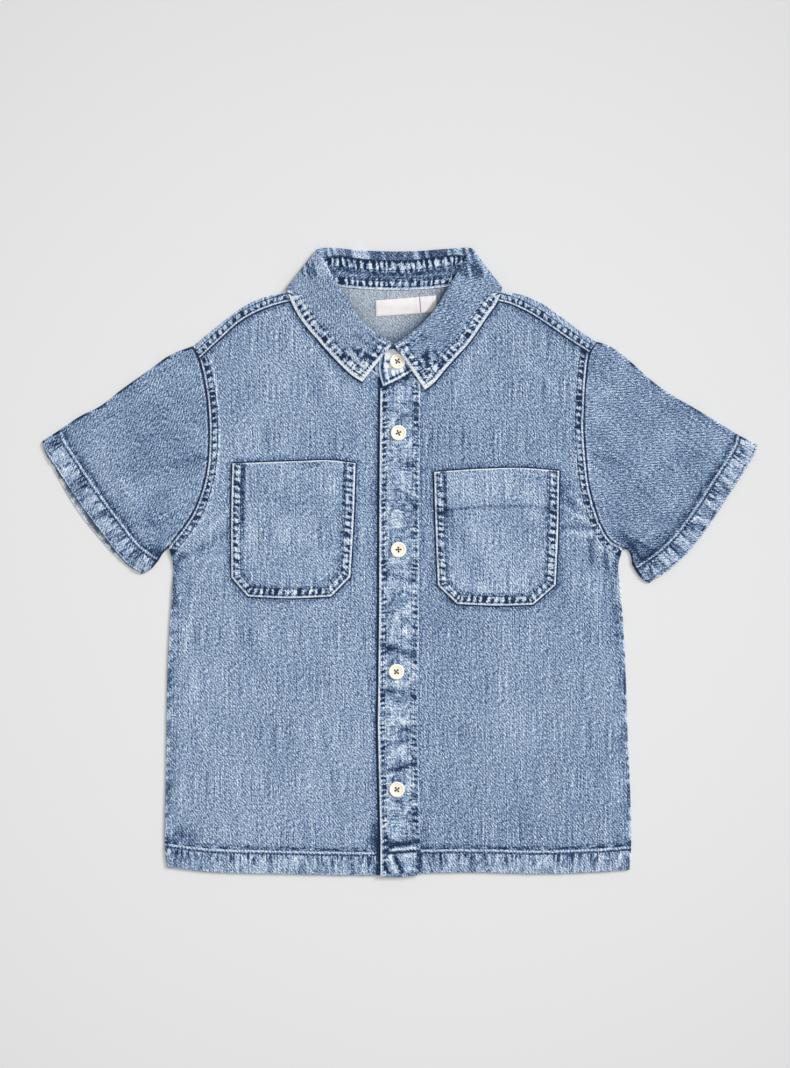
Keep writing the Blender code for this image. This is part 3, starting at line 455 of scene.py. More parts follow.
NECK_FRONT = {
    "right": [(-60, 206.5), (-61.2, 195.5), (-57, 180), (-46, 165), (-31, 148), (-16, 135),
              (-4, 128.5), (UNDERLAP_X, 126)],
    "left": [(57, 207), (58.4, 196), (52, 178), (40, 163), (26, 149), (OVERLAP_X, 138.4)],
}
SLEEVE_TOP = {
    "right": [(-150.8, 157.8), (-168, 151), (-182.5, 140.7), (-204, 125.4), (-219, 113.7),
              (-233.6, 106.4), (-248.2, 96.6)],
    "left": [(143, 161), (153.3, 157.5), (167.9, 146.6), (182.5, 133.4), (197, 122.8), (219, 110),
             (244.5, 94.2)],
}
SLEEVE_UNDER = {
    "right": [(-168.6, 10.5), (-173, 6.4), (-176.7, 0.5)],
    "left": [(162.4, 9.5), (166.3, 8.8), (168.6, 4.6), (169.6, -2)],
}
SLEEVE_HEM_LINE = {
    "right": [(-176.7, 0.5), (-189.8, 13), (-204.4, 32.7), (-219, 53.8), (-233.6, 73.5),
              (-248.2, 96.6)],
    "left": [(169.6, -2), (182.5, 4.5), (189.8, 13.7), (204.4, 28.3), (215.4, 40), (226.3, 57),
             (237.3, 74.3), (244.5, 94.2)],
}
HEM_TOP = {
    "right": [(-248.2, 96.6), (-261.3, 88.1)],
    "left": [(244.5, 94.2), (260.8, 85.2)],
}
HEM_UNDER = {
    "right": [(-176.7, 0.5), (-182.5, -6), (-188.3, -8.9)],
    "left": [(169.6, -2), (173.5, -8.5), (178, -13.5), (182.5, -15.5)],
}
CUFF = {
    "right": [(-188.3, -8.9), (-200.8, 0.5), (-219, 23.2), (-233.6, 42.9), (-248.2, 64.8),
              (-259.5, 82.5), (-261.3, 88.1)],
    "left": [(182.5, -15.5), (197.1, -5.3), (211.7, 8.6), (226.3, 27.6), (240.9, 50.2),
             (251.9, 67), (260, 81.5), (260.8, 85.2)],
}
PLACKET_TOP = [(-PLACKET_HALF, 126), (-12.4, 127.3), (0, 133.2), (OVERLAP_X, 138), (PLACKET_HALF, 141.6)]
PLACKET_BOTTOM = [(-PLACKET_HALF, -229.6), (0, -229.9), (PLACKET_HALF, -228.4)]
POCKETS = {
    "right": {
        "top": [(-122.3, 71.7), (-98, 72.6), (-73, 73.4), (-51.1, 74), (-32.5, 71.9)],
        "outer": [(-123, -11.5), (-123.2, 30), (-122.3, 71.7)],
        "inner": [(-36.3, -11.1), (-33.9, 30), (-32.5, 71.9)],
        "bottom": [(-123, -11.5), (-111, -25.4), (-80.3, -26.6), (-50.4, -25.4), (-36.3, -11.1)],
    },
    "left": {
        "top": [(24.8, 65.5), (58.4, 67.7), (87.6, 68.4), (116.1, 66.4)],
        "outer": [(27.6, -17.3), (26.1, 20), (24.8, 65.5)],
        "inner": [(113.5, -17), (115.2, 20), (116.1, 66.4)],
        "bottom": [(27.6, -17.3), (41.6, -30.8), (70, -32), (97, -31.4), (113.5, -17)],
    },
}
LABELS = {
    "neck_label": [(-17.5, 179), (14.9, 181.4), (13.9, 193.3), (-17.9, 190.7)],
    "size_label": [(15.3, 181.5), (27, 182.6), (26.3, 194.4), (14.4, 193.4)],
}
BUTTONS = [(-1.8, 146.2), (-1.1, 94), (-1.1, 8.9), (-2.6, -80.1), (-2.2, -165.9)]


def outline_of(side):
    """The folded edge of one half, from the hem up the side, round the sleeve, to the neck."""
    parts = [SIDE[side], SLEEVE_UNDER[side], HEM_UNDER[side], CUFF[side]]
    parts += [HEM_TOP[side][::-1], SLEEVE_TOP[side][::-1], SHOULDER_FOLD[side]]
    return np.vstack([smooth_line(part, 5) for part in parts])


OUTLINE = np.vstack([outline_of("right")[::-1], smooth_line(HEM, 5), outline_of("left")])
for table in (SIDE, ARMHOLE, SHOULDER_FOLD, SHOULDER_SEAM, NECK_FRONT, SLEEVE_TOP, SLEEVE_UNDER,
              SLEEVE_HEM_LINE, HEM_TOP, HEM_UNDER, CUFF):
    table.update({side: smooth_line(points) for side, points in table.items()})
HEM, NECK_BACK = smooth_line(HEM), smooth_line(NECK_BACK)
NECK_LINE = np.vstack([NECK_FRONT["right"][::-1], NECK_FRONT["left"]])
print("outline:", round(lengths(OUTLINE)[-1]), "mm round")

# %% [markdown]
# ## The pattern: folds, wear and painted shade
#
# Where the cloth lies in folds and creases, where washing left it dark or pale, and where shade is painted
# into its colour. Each row is a ridge from one point to another.

# %% The pattern: folds, wear and painted shade
# How far the placket wanders sideways as it lies: y, shift.
PLACKET_SWAY = np.array([(-230, 0.2), (-205, 0.3), (-120, -1.6), (-40, -0.7), (40, -0.5), (100, 0),
                         (142, 0.3)])
# Soft folds: from x, y, to x, y, half width, height.
FOLDS = [
    (128, 88, 146, 30, 6, 0.7), (118, 26, 150, 4, 6, 0.8), (112, -12, 152, -22, 7, 0.6),
    (150, -60, 160, -190, 8, 0.5), (-128, 60, -148, 14, 6, 0.6), (-118, -14, -156, -8, 7, 0.7),
    (-156, -70, -163, -190, 8, 0.5), (-60, -150, -40, -60, 12, 0.4), (70, -170, 84, -60, 12, 0.4),
    (-160, 40, -198, 112, 8, 0.6), (-176, 22, -216, 70, 7, 0.6), (150, 44, 190, 108, 8, 0.6),
    (170, 20, 214, 66, 7, 0.7), (146, 90, 166, 138, 7, 0.5),
]
# Sharper creases: from x, y, to x, y, half width, height (or depth, where it is less than 0).
CREASES = [
    (122, 52, 138, 36, 1.7, 0.8), (117, 41, 133, 31, 1.6, 0.6), (131, 33, 145, 23, 1.5, 0.7),
    (117, 25, 141, 25, 2.2, -0.6), (124, 21, 141, 20, 1.8, 0.6), (128, 66, 136, 50, 1.5, 0.4),
    (144, 18, 148, 6, 1.5, 0.7), (149, 9, 151, -6, 1.4, -0.6), (139, 17, 140, -4, 1.8, -0.5),
    (153, 4, 156, -14, 1.5, 0.5), (143, -20, 144, -52, 1.6, 0.35), (156, -30, 158, -70, 2, -0.35),
    (-122, 40, -140, 22, 2, 0.4), (-126, 22, -152, 6, 2.4, -0.4), (-128, 2, -160, 0, 2.2, 0.35),
    (-150, -20, -158, -70, 2.2, 0.3), (-146, 14, -147, -8, 2, -0.35), (-162, 4, -154, 2, 2, -0.4),
    (-40, 116, -58, 150, 3, 0.3), (40, 118, 52, 150, 3, 0.3), (88, 150, 120, 120, 3, 0.25),
    (-172, 20, -196, 44, 2.4, -0.35), (-186, 30, -204, 62, 2.4, 0.35), (172, 16, 196, 36, 2.4, -0.45),
    (181, 20, 203, 48, 2.2, 0.4), (142, 118, 160, 128, 1.8, 0.3), (140, 104, 158, 108, 1.8, 0.3),
    (-146, 96, -166, 98, 2.2, 0.3), (-144, 76, -168, 70, 2.4, -0.3), (140, 78, 164, 70, 2.2, -0.3),
]
# Dark (less than 0) and pale patches: painted shade in the underarm folds, the side seam's gap, crease
# hollows and beside the placket, and other darker or paler patches of the cloth. From x, y, to x, y, half
# width, fade.
SHADE_AND_WEAR_PATCHES = [
    (168, 14, 174, 4, 2.2, -0.3), (174, 3, 181, 1, 1.6, -0.25), (172, 16, 186, 6, 1.8, -0.22),
    (166, 21, 181, 14, 1.5, 0.12), (178, 12, 196, 22, 2.5, -0.16), (-178, 14, -172, 2, 4, -0.16),
    (120, 57, 127, 38, 5, -0.2), (160, 20, 174, 9, 5, -0.3), (176, 8, 186, 2, 5, -0.2),
    (-163, 4, -154, 2, 2.5, -0.2), (-166, -10, -164, -31, 1.8, -0.45), (149, 9, 151, -6, 1.6, -0.15),
    (139, 17, 140, -2, 2, -0.15), (-19, -190, -18, -208, 3, -0.25), (-172, 6, -180, 0, 5, -0.2),
    (-18, 60, -19, 40, 4, -0.1), (-232, 108, -244, 98, 4, -0.12), (232, 104, 242, 96, 4, -0.2),
    (-165, -196, -150, -203, 5, -0.2), (-24, -202, -17, -206, 5, -0.2),
]
print("folds:", len(FOLDS), "creases:", len(CREASES), "patches:", len(SHADE_AND_WEAR_PATCHES))

# %% [markdown]
# ## The pattern: collar
#
# The collar changes all the way round the neck: behind it lies flat under the back, at the corners it
# turns over, and in front it stands up. A row for each place says where its neck seam, roll and free
# edge are.

# %% The pattern: collar
# Collar sections: neck x, neck y, roll x, roll y, roll z, edge x, edge y, edge lift, riser, rise,
# over (0 under the back, 1 on the front), turn of the roll's stand side in degrees.
COLLAR = {
    "right": [
        (-14, 198.3, -14.5, 226.8, 1.95, -18, 192.9, 0, 6, 0.1, 0, 90),
        (-29, 199.2, -30, 227.4, 1.95, -40, 194, 0, 5.6, 0.1, 0, 90),
        (-44, 200.6, -45, 229, 2, -62, 196.2, 0, 5.2, 0.1, 0, 85),
        (-53, 203.6, -54, 229.2, 2.4, -75, 198.8, 0, 7.4, 0.2, 0.1, 60),
        (-60, 206.5, -58.6, 227.9, 3.9, -81, 200.6, 0, 8, 0.4, 0.5, 0),
        (-60.6, 202.6, -57.4, 224.2, 6, -81.9, 197.9, 0, 6, 1, 0.92, -50),
        (-61, 198.5, -54.4, 218.6, 8, -80.8, 193.4, 0, 6, 1.6, 1, -75),
        (-60.6, 192.5, -50.2, 210.6, 9.3, -78.1, 186.8, 0, 5.8, 2, 1, -90),
        (-58.5, 184.5, -45.2, 201.9, 9.8, -73.6, 178.8, 0, 5.5, 2.2, 1, -90),
        (-54.5, 175.8, -40.1, 193.4, 9.8, -67.5, 170.4, 0, 5.5, 2.2, 1, -90),
        (-48.5, 168, -34.1, 183.8, 9.8, -60.5, 162.4, 0, 5.5, 2.1, 1, -90),
        (-41, 159.5, -27.6, 175.3, 9.8, -52.6, 153.4, 0, 5, 1.9, 1, -90),
        (-32.5, 149.6, -20.6, 169.4, 9.8, -44.1, 144.4, 0, 4.4, 1.4, 1, -90),
        (-22, 139.8, -12.8, 163.6, 9.6, -35.6, 136.4, 0, 3.2, 0.6, 1, -90),
        (-11, 131.8, -5.1, 159, 9.3, -27.7, 131.2, 0, 2.4, 0, 1, -90),
    ],
    "left": [
        (14, 198.6, 14, 227, 1.95, 18, 193, 0, 5.6, 0.1, 0, 90),
        (28, 199.6, 28.4, 228.1, 1.95, 38, 194.4, 0, 4.9, 0.1, 0, 90),
        (41, 201.8, 41, 229, 2, 57, 197, 0, 4.6, 0.1, 0, 85),
        (50, 204.3, 47.8, 229.2, 2.4, 68.4, 199.4, 0, 7.4, 0.2, 0.1, 60),
        (57, 207, 51.2, 227.7, 3.9, 73, 200.9, 0, 8.4, 0.4, 0.5, 0),
        (57.8, 203, 49.2, 223.8, 6, 73.9, 198.2, 0, 6, 1, 0.92, -50),
        (58.3, 198.5, 46, 218.2, 8, 72.4, 193.2, 0, 6, 1.6, 1, -75),
        (57.4, 192, 41.6, 210.4, 9.3, 69.2, 186.6, 0, 5.8, 2, 1, -90),
        (54.5, 184, 36.4, 202.2, 9.8, 63.6, 178.9, 0, 5.5, 2.2, 1, -90),
        (50, 175.2, 30.8, 192.6, 9.8, 57, 169, 0, 5.5, 2.2, 1, -90),
        (43.5, 167, 24.4, 182.7, 9.8, 49.6, 158.8, 0, 5.5, 2.1, 1, -90),
        (36, 158.8, 15.8, 173.4, 9.8, 41.4, 149.8, 0, 5, 2, 1, -90),
        (27.4, 150.2, 7.4, 166.5, 9.8, 32.8, 140.1, 0, 4.6, 2, 1, -90),
        (17.8, 143.6, 0.2, 161, 9.7, 24.8, 130.6, 0.3, 4, 1.2, 1, -90),
        (8.6, 138.8, -4.6, 158.6, 9.4, 18.3, 125.4, 0.9, 3, 0.2, 1, -90),
    ],
}
COLLAR_CENTRE = (0, 198, 0, 226.6, 1.95, 0, 192.6, 0, 6.1, 0.1, 0, 90)
STAND_CLIMB = [(8, 1.5), (18, 0.9), (28, 0.1), (30, 0)]
STAND_SINK = [(-34, 0), (-22, 0.4), (-11, 0.5)]
STAND_OVERLAP = [(0, 133.6, -6.8, 155, 0), (-7, 130.2, -10.6, 154, 1), (-12.4, 127.9, -14.2, 151.4, 2)]
STAND_UNDERLAP = [(-2, 128.8, 0.5, 156.4, 0), (UNDERLAP_X - 0.6, 126.8, 8, 156, 0)]
FALL_UNDER = np.array([row[5:7] for row in COLLAR["right"][4::-1] + [COLLAR_CENTRE] + COLLAR["left"][:5]])
print("edge of the fall under the back:", round(lengths(FALL_UNDER)[-1]), "mm")

# %% [markdown]
# ## How high the cloth lies
#
# The back lies on the table. The fronts rise off it away from the folded edges, over the collar that
# is tucked under the back, and in soft folds. Each fold is a rounded ridge, height times
# exp(-(distance / half width)^2), that dies away at both ends. Slow random hollows come on top.

# %% How high the cloth lies
def collar_raise(x, y):
    """How much the collar's fall lifts the cloth that lies over it."""
    edge = np.interp(x, FALL_UNDER[:, 0], FALL_UNDER[:, 1])
    over = (y > edge) & (x > FALL_UNDER[0, 0]) & (x < FALL_UNDER[-1, 0])
    away = np.where(over, 0, distance_to(FALL_UNDER, x, y))
    return COLLAR_RAISE * ease(1 - (away - RAISE_MARGIN) / COLLAR_RAISE_RUN)


def ridges(x, y, table):
    """The heights of all ridges of a table at once, each fading out at both of its ends."""
    total = np.zeros(np.shape(x))
    for x0, y0, x1, y1, half, height in table:
        length = np.hypot(x1 - x0, y1 - y0)
        forward = ((x - x0) * (x1 - x0) + (y - y0) * (y1 - y0)) / length
        aside = ((x - x0) * (y1 - y0) - (y - y0) * (x1 - x0)) / length
        ends = ease(0.5 + forward / half / 2) * ease(0.5 + (length - forward) / half / 2)
        total += height * ends * bell(aside, 0, half)
    return total


def back_height(x, y):
    """Middle of the back: level, and raised where the collar is tucked under it."""
    return BACK_Z + collar_raise(x, y)


def front_height(x, y):
    """Middle of the fronts and of the sleeves' upper layer: loft, neck, collar, folds and hollows."""
    depth = distance_to(OUTLINE, x, y)
    loft = LOFT * (1 - np.exp(-depth / LOFT_RUN))
    neck_away = distance_to(NECK_LINE, x, y)
    neck = NECK_LIFT * np.exp(-neck_away / NECK_LIFT_RUN)
    hollows = 0.28 * cloud(x, y, 26, 44, 1) + 0.1 * cloud(x, y, 9, 15, 2)
    creased = (ridges(x, y, CREASES) + hollows) * ease((neck_away - 6) / 14)
    soft = ridges(x, y, FOLDS) * ease(depth / FOLD_START) + creased * ease(depth / 6)
    return FRONT_Z + loft + neck + collar_raise(x, y) + soft


def raised(plan, height):
    """Plan points with the height that a function of x and y gives them."""
    return np.dstack([plan, height(plan[..., 0], plan[..., 1])])


def rounded(v, radius=0.55):
    """How much a folded edge curls down at a distance v from it: a quarter circle."""
    share = np.clip(1 - v / radius, 0, 1)
    return radius * (1 - np.sqrt(1 - share * share))


def rungs(u, v, seed, pitch=5.0, slant=0.25):
    """How many puckers lie between the start of a seam and each point: they are unevenly spaced."""
    return (u - slant * v + 2.2 * cloud(u, 0 * v, 2.3 * pitch, 1, seed)) / pitch + 500


def roping(count, u, v, seed):
    """Uneven puckers along a stitched edge: ridges at whole counts, hollows half way between them."""
    return np.cos(2 * np.pi * count) * (0.65 + 0.5 * cloud(u, v, 9, 5, seed))


middle = front_height(np.array([-80.0, 80.0]), np.array([-60.0, -60.0]))
print("height of both fronts below the pockets:", np.round(middle, 2), "mm")

# %% [markdown]
# ## What the cloth keeps
#
# Every point of a piece keeps what its finish needs: where it lies in the weave and how far it is from
# the next piece on top ("grain"), how far along and away from two seams it is ("seam_a", "seam_b", each
# with its pucker), and how faded it is, painted shade and highlight included ("fade"). So one finish
# fits every piece, and it stays on the cloth however the cloth lies.

# %% What the cloth keeps
FAR = 99.0
MARKS = ("grain", "seam_a", "seam_b", "fade")
pieces = {}


def sheet_patch(grid, above, below, seam_a=None, seam_b=None, fade=0.0, grain=None, cover=FAR):
    """One grid of a piece with its wall and marks. `cover` is how far off the next piece on top is."""
    shape = grid.shape[:2]
    nowhere = (0, FAR, 0)

    def spread(*parts):
        """Numbers or grids as one grid of vectors."""
        return np.dstack([np.broadcast_to(part, shape) for part in parts])

    return {
        "points": grid,
        "above": spread(above),
        "below": spread(below),
        "grain": spread(*(grain or (grid[..., 0], grid[..., 1])), cover),
        "seam_a": spread(*(seam_a or nowhere)),
        "seam_b": spread(*(seam_b or nowhere)),
        "fade": spread(fade),
    }


def flipped(part):
    """A patch with its columns in the opposite order, so that its other face looks out."""
    return {key: value[:, ::-1] for key, value in part.items()}


print("marks of every piece of cloth:", MARKS)

# %% [markdown]
# ## Walls of cloth
#
# A piece of cloth has two faces and a rim. Each piece starts as the middle surface on a grid. Points
# that two grids share are made one, then the wall is laid out on both sides of it. Where the cloth
# lies level it is laid out straight up, which keeps its seam lines in place.

# %% Walls of cloth
def finish_piece(item, nodes=()):
    """Every finished piece rides on the shirt, takes a slot of the record and stands for its solids."""
    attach(item, "root")
    if nodes:
        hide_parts(*nodes)
    pieces[item.name] = item


def mesh_piece(name, points, faces, materials, kinds=None, sharp=50):
    """An object from points in millimetres, shaded smooth up to its sharp edges."""
    mesh = bpy.data.meshes.new(name)
    mesh.from_pydata((np.asarray(points) * MM).tolist(), [], faces)
    for material in materials:
        mesh.materials.append(material)
    if kinds is not None:
        mesh.polygons.foreach_set("material_index", np.asarray(kinds, np.int32))
    mesh.shade_smooth()
    mesh.set_sharp_from_angle(angle=np.radians(sharp))
    return link(name, mesh)


def keep(item, name, values):
    """Keeps a number or a vector for every point of a mesh, under a name."""
    form, field = ("FLOAT_VECTOR", "vector") if values.shape[1] == 3 else ("FLOAT", "value")
    layer = item.data.attributes.new(name, form, "POINT")
    layer.data.foreach_set(field, values.astype(np.float32).ravel())


def facing(points, faces):
    """The unit normal at each point, from the areas of the faces round it."""
    normals = np.zeros_like(points)
    corner = points[faces]
    square = np.cross(corner[:, 2] - corner[:, 0], corner[:, 3] - corner[:, 1])
    for column in range(4):
        np.add.at(normals, faces[:, column], square)
    return unit(normals)


def cloth(name, patches, materials, upright=False, outside_up=True):
    """One closed wall through grids of a middle surface, with a face of each material.

    The wall goes straight up if `upright`, or square to the surface. The first material is the
    outside's, which is the upper face if `outside_up`.
    """
    joined = {key: np.vstack([part[key].reshape(-1, part[key].shape[-1]) for part in patches])
              for key in patches[0]}
    faces, start = [], 0
    for part in patches:
        rows, columns = part["points"].shape[:2]
        index = start + np.arange(rows * columns).reshape(rows, columns)
        corners = (index[:-1, :-1], index[:-1, 1:], index[1:, 1:], index[1:, :-1])
        faces.append(np.stack(corners, -1).reshape(-1, 4))
        start += rows * columns
    _, first, same = np.unique(np.round(joined["points"], 3), axis=0, return_index=True,
                               return_inverse=True)
    points, above, below = (joined[key][first] for key in ("points", "above", "below"))
    faces = same.reshape(-1)[np.vstack(faces)]
    normals = np.array([[0, 0, 1]]) if upright else facing(points, faces)
    edges = np.vstack([faces[:, [column, (column + 1) % 4]] for column in range(4)])
    _, kind, count = np.unique(np.sort(edges, axis=1), axis=0, return_inverse=True, return_counts=True)
    rim = edges[count[kind.reshape(-1)] == 1]
    under = len(points)
    walls = np.column_stack([rim[:, 1], rim[:, 0], rim[:, 0] + under, rim[:, 1] + under])
    upper, lower = (0, 1) if outside_up else (1, 0)
    item = mesh_piece(
        name + "_cloth",
        np.vstack([points + normals * above, points - normals * below]),
        np.vstack([faces, faces[:, ::-1] + under, walls]).tolist(),
        materials,
        np.repeat([upper, lower, 0], [len(faces), len(faces), len(walls)]),
    )
    for key in MARKS:
        keep(item, key, np.vstack([joined[key][first]] * 2))
    area = sum(face.area for face in item.data.polygons) / 2
    print(f"{item.name}: {len(item.data.polygons)} faces, {area * 1e4:.0f} square cm of cloth")
    finish_piece(item, [name])


# %% [markdown]
# ## The weave
#
# Denim is woven from blue warp and white weft, and washing lets more and more white through. So one
# number, the fade, says everything about its colour: 0 is raw indigo, 0.5 the washed body and 1 a
# bare worn edge. Each effect is a node group that adds to the fade and to a height for the bump.
#
# At arm's length the twill itself can't be seen, only its unevenness: specks of white weft that lean
# with the twill, thicker slub threads that run up the cloth, and slow clouds of washing. Noises of
# those sizes do it better than drawn threads, which would only shimmer.

# %% The weave
FADE_AND_HEIGHT = {"Fade": "NodeSocketFloat", "Height": "NodeSocketFloat"}


def effect(name, inputs, outputs=FADE_AND_HEIGHT):
    """An empty node group with named sockets: its tree, its inputs as signals, its output sockets."""
    tree = bpy.data.node_groups.new(name, "ShaderNodeTree")
    for label, default in inputs.items():
        form = "NodeSocketVector" if default is None else "NodeSocketFloat"
        socket = tree.interface.new_socket(label, in_out="INPUT", socket_type=form)
        plug(socket, default)
    for label, form in outputs.items():
        tree.interface.new_socket(label, in_out="OUTPUT", socket_type=form)
    source = tree.nodes.new("NodeGroupInput")
    given = [Signal(tree, source.outputs[label]) for label in inputs]
    return tree, given, tree.nodes.new("NodeGroupOutput").inputs


def weave_group():
    """Washed denim: leaning specks and twill lines, short warp streaks, long slub threads, clouds."""
    tree, given, out = effect("washed weave", {"Grain": None, "Speck": 1.0, "Slub": 1.0, "Cross": 0.0})
    grain, specks, slubs, crossed = given
    flat = grain.scaled(1, 1, 0)
    lean = add(tree, "ShaderNodeVectorRotate", flat, None, None, np.radians(50), rotation_type="Z_AXIS")
    speck = lean.uneven(2.4, 0.85, 0.4)
    fleck = flat.uneven(0.85, 0.65, 0.0)
    yarn = flat.uneven(0.8, 3.6, 0.4)
    thread = flat.uneven(0.85, 36, 0.0)
    slub = thread * abs(thread) * 1.5
    pitch = (2 * np.pi / 2.3, 2 * np.pi / 3.05, 0)
    count = add(tree, "ShaderNodeVectorMath", flat, pitch, output="Value", operation="DOT_PRODUCT")
    twill = (count + flat.uneven(7, 9, 0.0) * 4.0).calc("COSINE")
    fine = specks * (speck * 0.72 + fleck * 0.95 + twill * 0.085)
    runs = slubs * (yarn * 0.24 + slub)
    cross = flat.uneven(4.2, 1.3) * crossed
    plug(out["Fade"], fine + runs + cross + flat.uneven(24, 34, 2.0) * 0.11)
    plug(out["Height"], (speck + yarn) * 0.25)
    return tree


WEAVE = weave_group()
print("nodes of the weave:", len(WEAVE.nodes))

# %% [markdown]
# ## Stitched edges
#
# Where several layers are stitched together the cloth shrinks unevenly in the wash and ropes: it
# stands up in slanting puckers. Their tops rub white, the hollows stay indigo. The folded edge itself
# wears to a bare line, and each row of stitches sinks into a groove.

# %% Stitched edges
def edge_group():
    """Worn rim, roped band between two rows of stitches, the stitches' grooves, a dark strip past them.

    The seam vector holds mm along the seam, mm away from it, and the count of its puckers.
    """
    tree, given, out = effect(
        "stitched edge",
        {"Seam": None, "Rim": 1.0, "Row A": 2.2, "Row B": 7.0, "Worn": 1.0, "Rungs": 1.0, "Strip": 0.2,
         "Strip width": 2.5, "Rays": 0.0, "Groove": 1.0, "Bare": 0.45, "Fitful": 1.6, "Reach": 0.4},
    )
    seam, edge, row_a, row_b, worn, rungs_share, strip, width, rays, sunk, bare, fitful, reach = given
    run, away, count = seam.parts()
    fine, blot, other = seam.uneven(1.0, 1.0), seam.uneven(3.2, 3.2), seam.uneven(2.6, 4.2)
    wander = away + blot * 2.2 + fine * 0.7
    count = count + other * 0.55 + fine * 0.15
    cell = count.calc("FLOOR")
    first, second = (add(tree, "ShaderNodeTexWhiteNoise", None, place, noise_dimensions="1D")
                     for place in (cell, cell + 0.37))
    off = abs(count - cell - 0.5)
    half = first * 0.27 + 0.05
    reach = row_a + (row_b - row_a) * (reach + second * 0.8)
    across = wander.step(edge + 0.3, edge + 0.9) * wander.step(reach + 0.5, reach - 0.4)
    fitful = (seam.uneven(8.0, 8.0) * fitful + 1.0).calc("MAXIMUM", 0.0)
    rung = off.step(half + 0.06, half - 0.05) * across * rungs_share * fitful
    band = away.step(edge, edge + 0.6) * wander.step(row_b + 2.4, row_b + 0.6)
    crest = off.step(half, 0.5)
    rubbed = band * (crest * 0.3 + 0.02 + blot * 0.6) * worn
    uneven_away = away + fine * 0.5
    rim = uneven_away.step(edge + 0.3, edge - 0.3)
    sunk_a, sunk_b = (abs(uneven_away - row).step(0.8, 0.25) for row in (row_a, row_b))
    groove = (sunk_a + sunk_b) * run.off_middle(2.5).step(0.14, 0.3, 0.5, 1.0) * sunk
    past = wander - row_b
    strip = past.step(0.0, 0.7) * past.step(width + 0.5, width - 0.6) * strip * (other * 2.2 + 0.75)
    rays = past.step(0.5, 1.6) * past.step(6.0, 1.5) * rays * seam.scaled(1, 0.25, 0).uneven(2.2, 2.2)
    plug(out["Fade"], rim * bare + rubbed - rung * 0.62 - groove * 0.46 - strip + rays)
    plug(out["Height"], crest * band * 0.2 - rung * 0.45 - groove * 0.3)
    return tree


def cover_shade_and_unfaded_group():
    """A dark line right beside a piece that lies on the cloth, painted contact shadow over unfaded cloth, and
    a halo of unfaded cloth.
    """
    tree, given, out = effect("beside a piece on top", {"Grain": None, "Line": 0.6, "Halo": 0.2})
    grain, line, halo = given
    off = grain.parts()[2]
    # Painted contact shadow: the dark line at the very edge of the piece on top.
    line = off.step(1.4, 0.6) * line
    halo = (off + grain.uneven(5.0, 5.0) * 6.0).step(6.0, 0.5) * halo
    plug(out["Fade"], (line + halo) * -1.0)
    plug(out["Height"], line * -0.5)
    return tree


EDGE, COVER_SHADE_AND_UNFADED = edge_group(), cover_shade_and_unfaded_group()


def edge_look(mark_name, rim, rows, strip=0.0, **others):
    """A stitched edge for `denim`: its worn rim, its two rows of stitches, the dark strip past them."""
    values = {"Rim": rim, "Row A": rows[0], "Row B": rows[1], "Strip": strip}
    values |= {label.replace("_", " ").capitalize(): value for label, value in others.items()}
    return EDGE, mark_name, values


print("nodes of a stitched edge:", len(EDGE.nodes), "and beside a piece on top:", len(COVER_SHADE_AND_UNFADED.nodes))

# %% [markdown]
# ## Turned hems
#
# A hem is turned up twice and held by one row of stitches. Its top stands out as a thin worn ridge,
# with an uneven dark strip above it. Below the stitches the spare cloth gathers in short upright
# flutes.

# %% Turned hems
HEM_ROW = 1.8


def hem_group():
    """Bare ridge at the top of a hem, the stitch groove under it, a dark strip above, flutes below."""
    tree, given, out = effect("turned hem", {"Seam": None, "Depth": HEM_DEPTH, "Flutes": 0.3,
                                             "Streaks": 1.0, "Shade": 1.0, "Edge row": 0.0})
    seam, depth, flutes, streaks, shade, edge_row = given
    run, away, pucker = seam.parts()
    fine, blot = seam.uneven(1.2, 0.9), seam.uneven(6.0, 2.2)
    over = away + fine * 0.7 - depth
    ridge = abs(over).step(0.95, 0.25) * (fine * 2.4 + 0.65)
    groove = abs(over + HEM_ROW).step(1.0, 0.35) * run.off_middle(2.7).step(0.12, 0.28, 0.4, 1.0)
    strip = over.step(0.4, 1.1) * over.step(5.5, 1.4) * (blot * 3.4 + 0.7)
    within = over.step(-1.9, -3.0) * away.step(0.0, 1.0)
    dark = seam.uneven(2.6, 16.0).step(-0.02, -0.15)
    thin = abs(seam.uneven(3.6, 26.0, 0.0)).step(0.045, 0.01)
    pale = abs(seam.uneven(4.4, 19.0, 0.0)).step(0.04, 0.01)
    tall = over.step(-13.0, -3.5, 0.25, 1.0)
    streak = (dark * -0.34 - thin * 0.24 + pale * 0.2) * tall * streaks
    dash = abs(away - 1.9).step(1.1, 0.4) * blot.step(-0.02, -0.1) * edge_row
    fade = ridge * 0.38 - groove * 0.45 - dash * 0.45 - strip * shade * 0.44
    fade = fade + within * (streak + 0.09 + pucker * flutes) + away.step(1.3, 0.3) * 0.14
    plug(out["Fade"], fade)
    plug(out["Height"], ridge * 0.3 - groove * 0.4)
    return tree


HEM_LOOK = hem_group()
print("nodes of a turned hem:", len(HEM_LOOK.nodes))

# %% [markdown]
# ## Dye
#
# The fade becomes a colour on a ramp from indigo to bare cotton. The inside of the cloth shows the
# white weft, so it is paler and greyer.

# %% Dye
DYE = [(0.0, linear(24, 41, 70)), (0.25, linear(74, 98, 132)), (0.5, linear(126, 149, 180)),
       (0.75, linear(177, 198, 222)), (1.0, linear(236, 241, 244))]
INSIDE_DYE = [(0.0, linear(88, 102, 122)), (0.5, linear(157, 169, 183)), (1.0, linear(220, 226, 231))]
DRY = {"Roughness": 0.88, "Specular IOR Level": 0.2, "Sheen Weight": 0.08, "Sheen Roughness": 0.5}
FELL_ROWS = (1.9, 5.6)


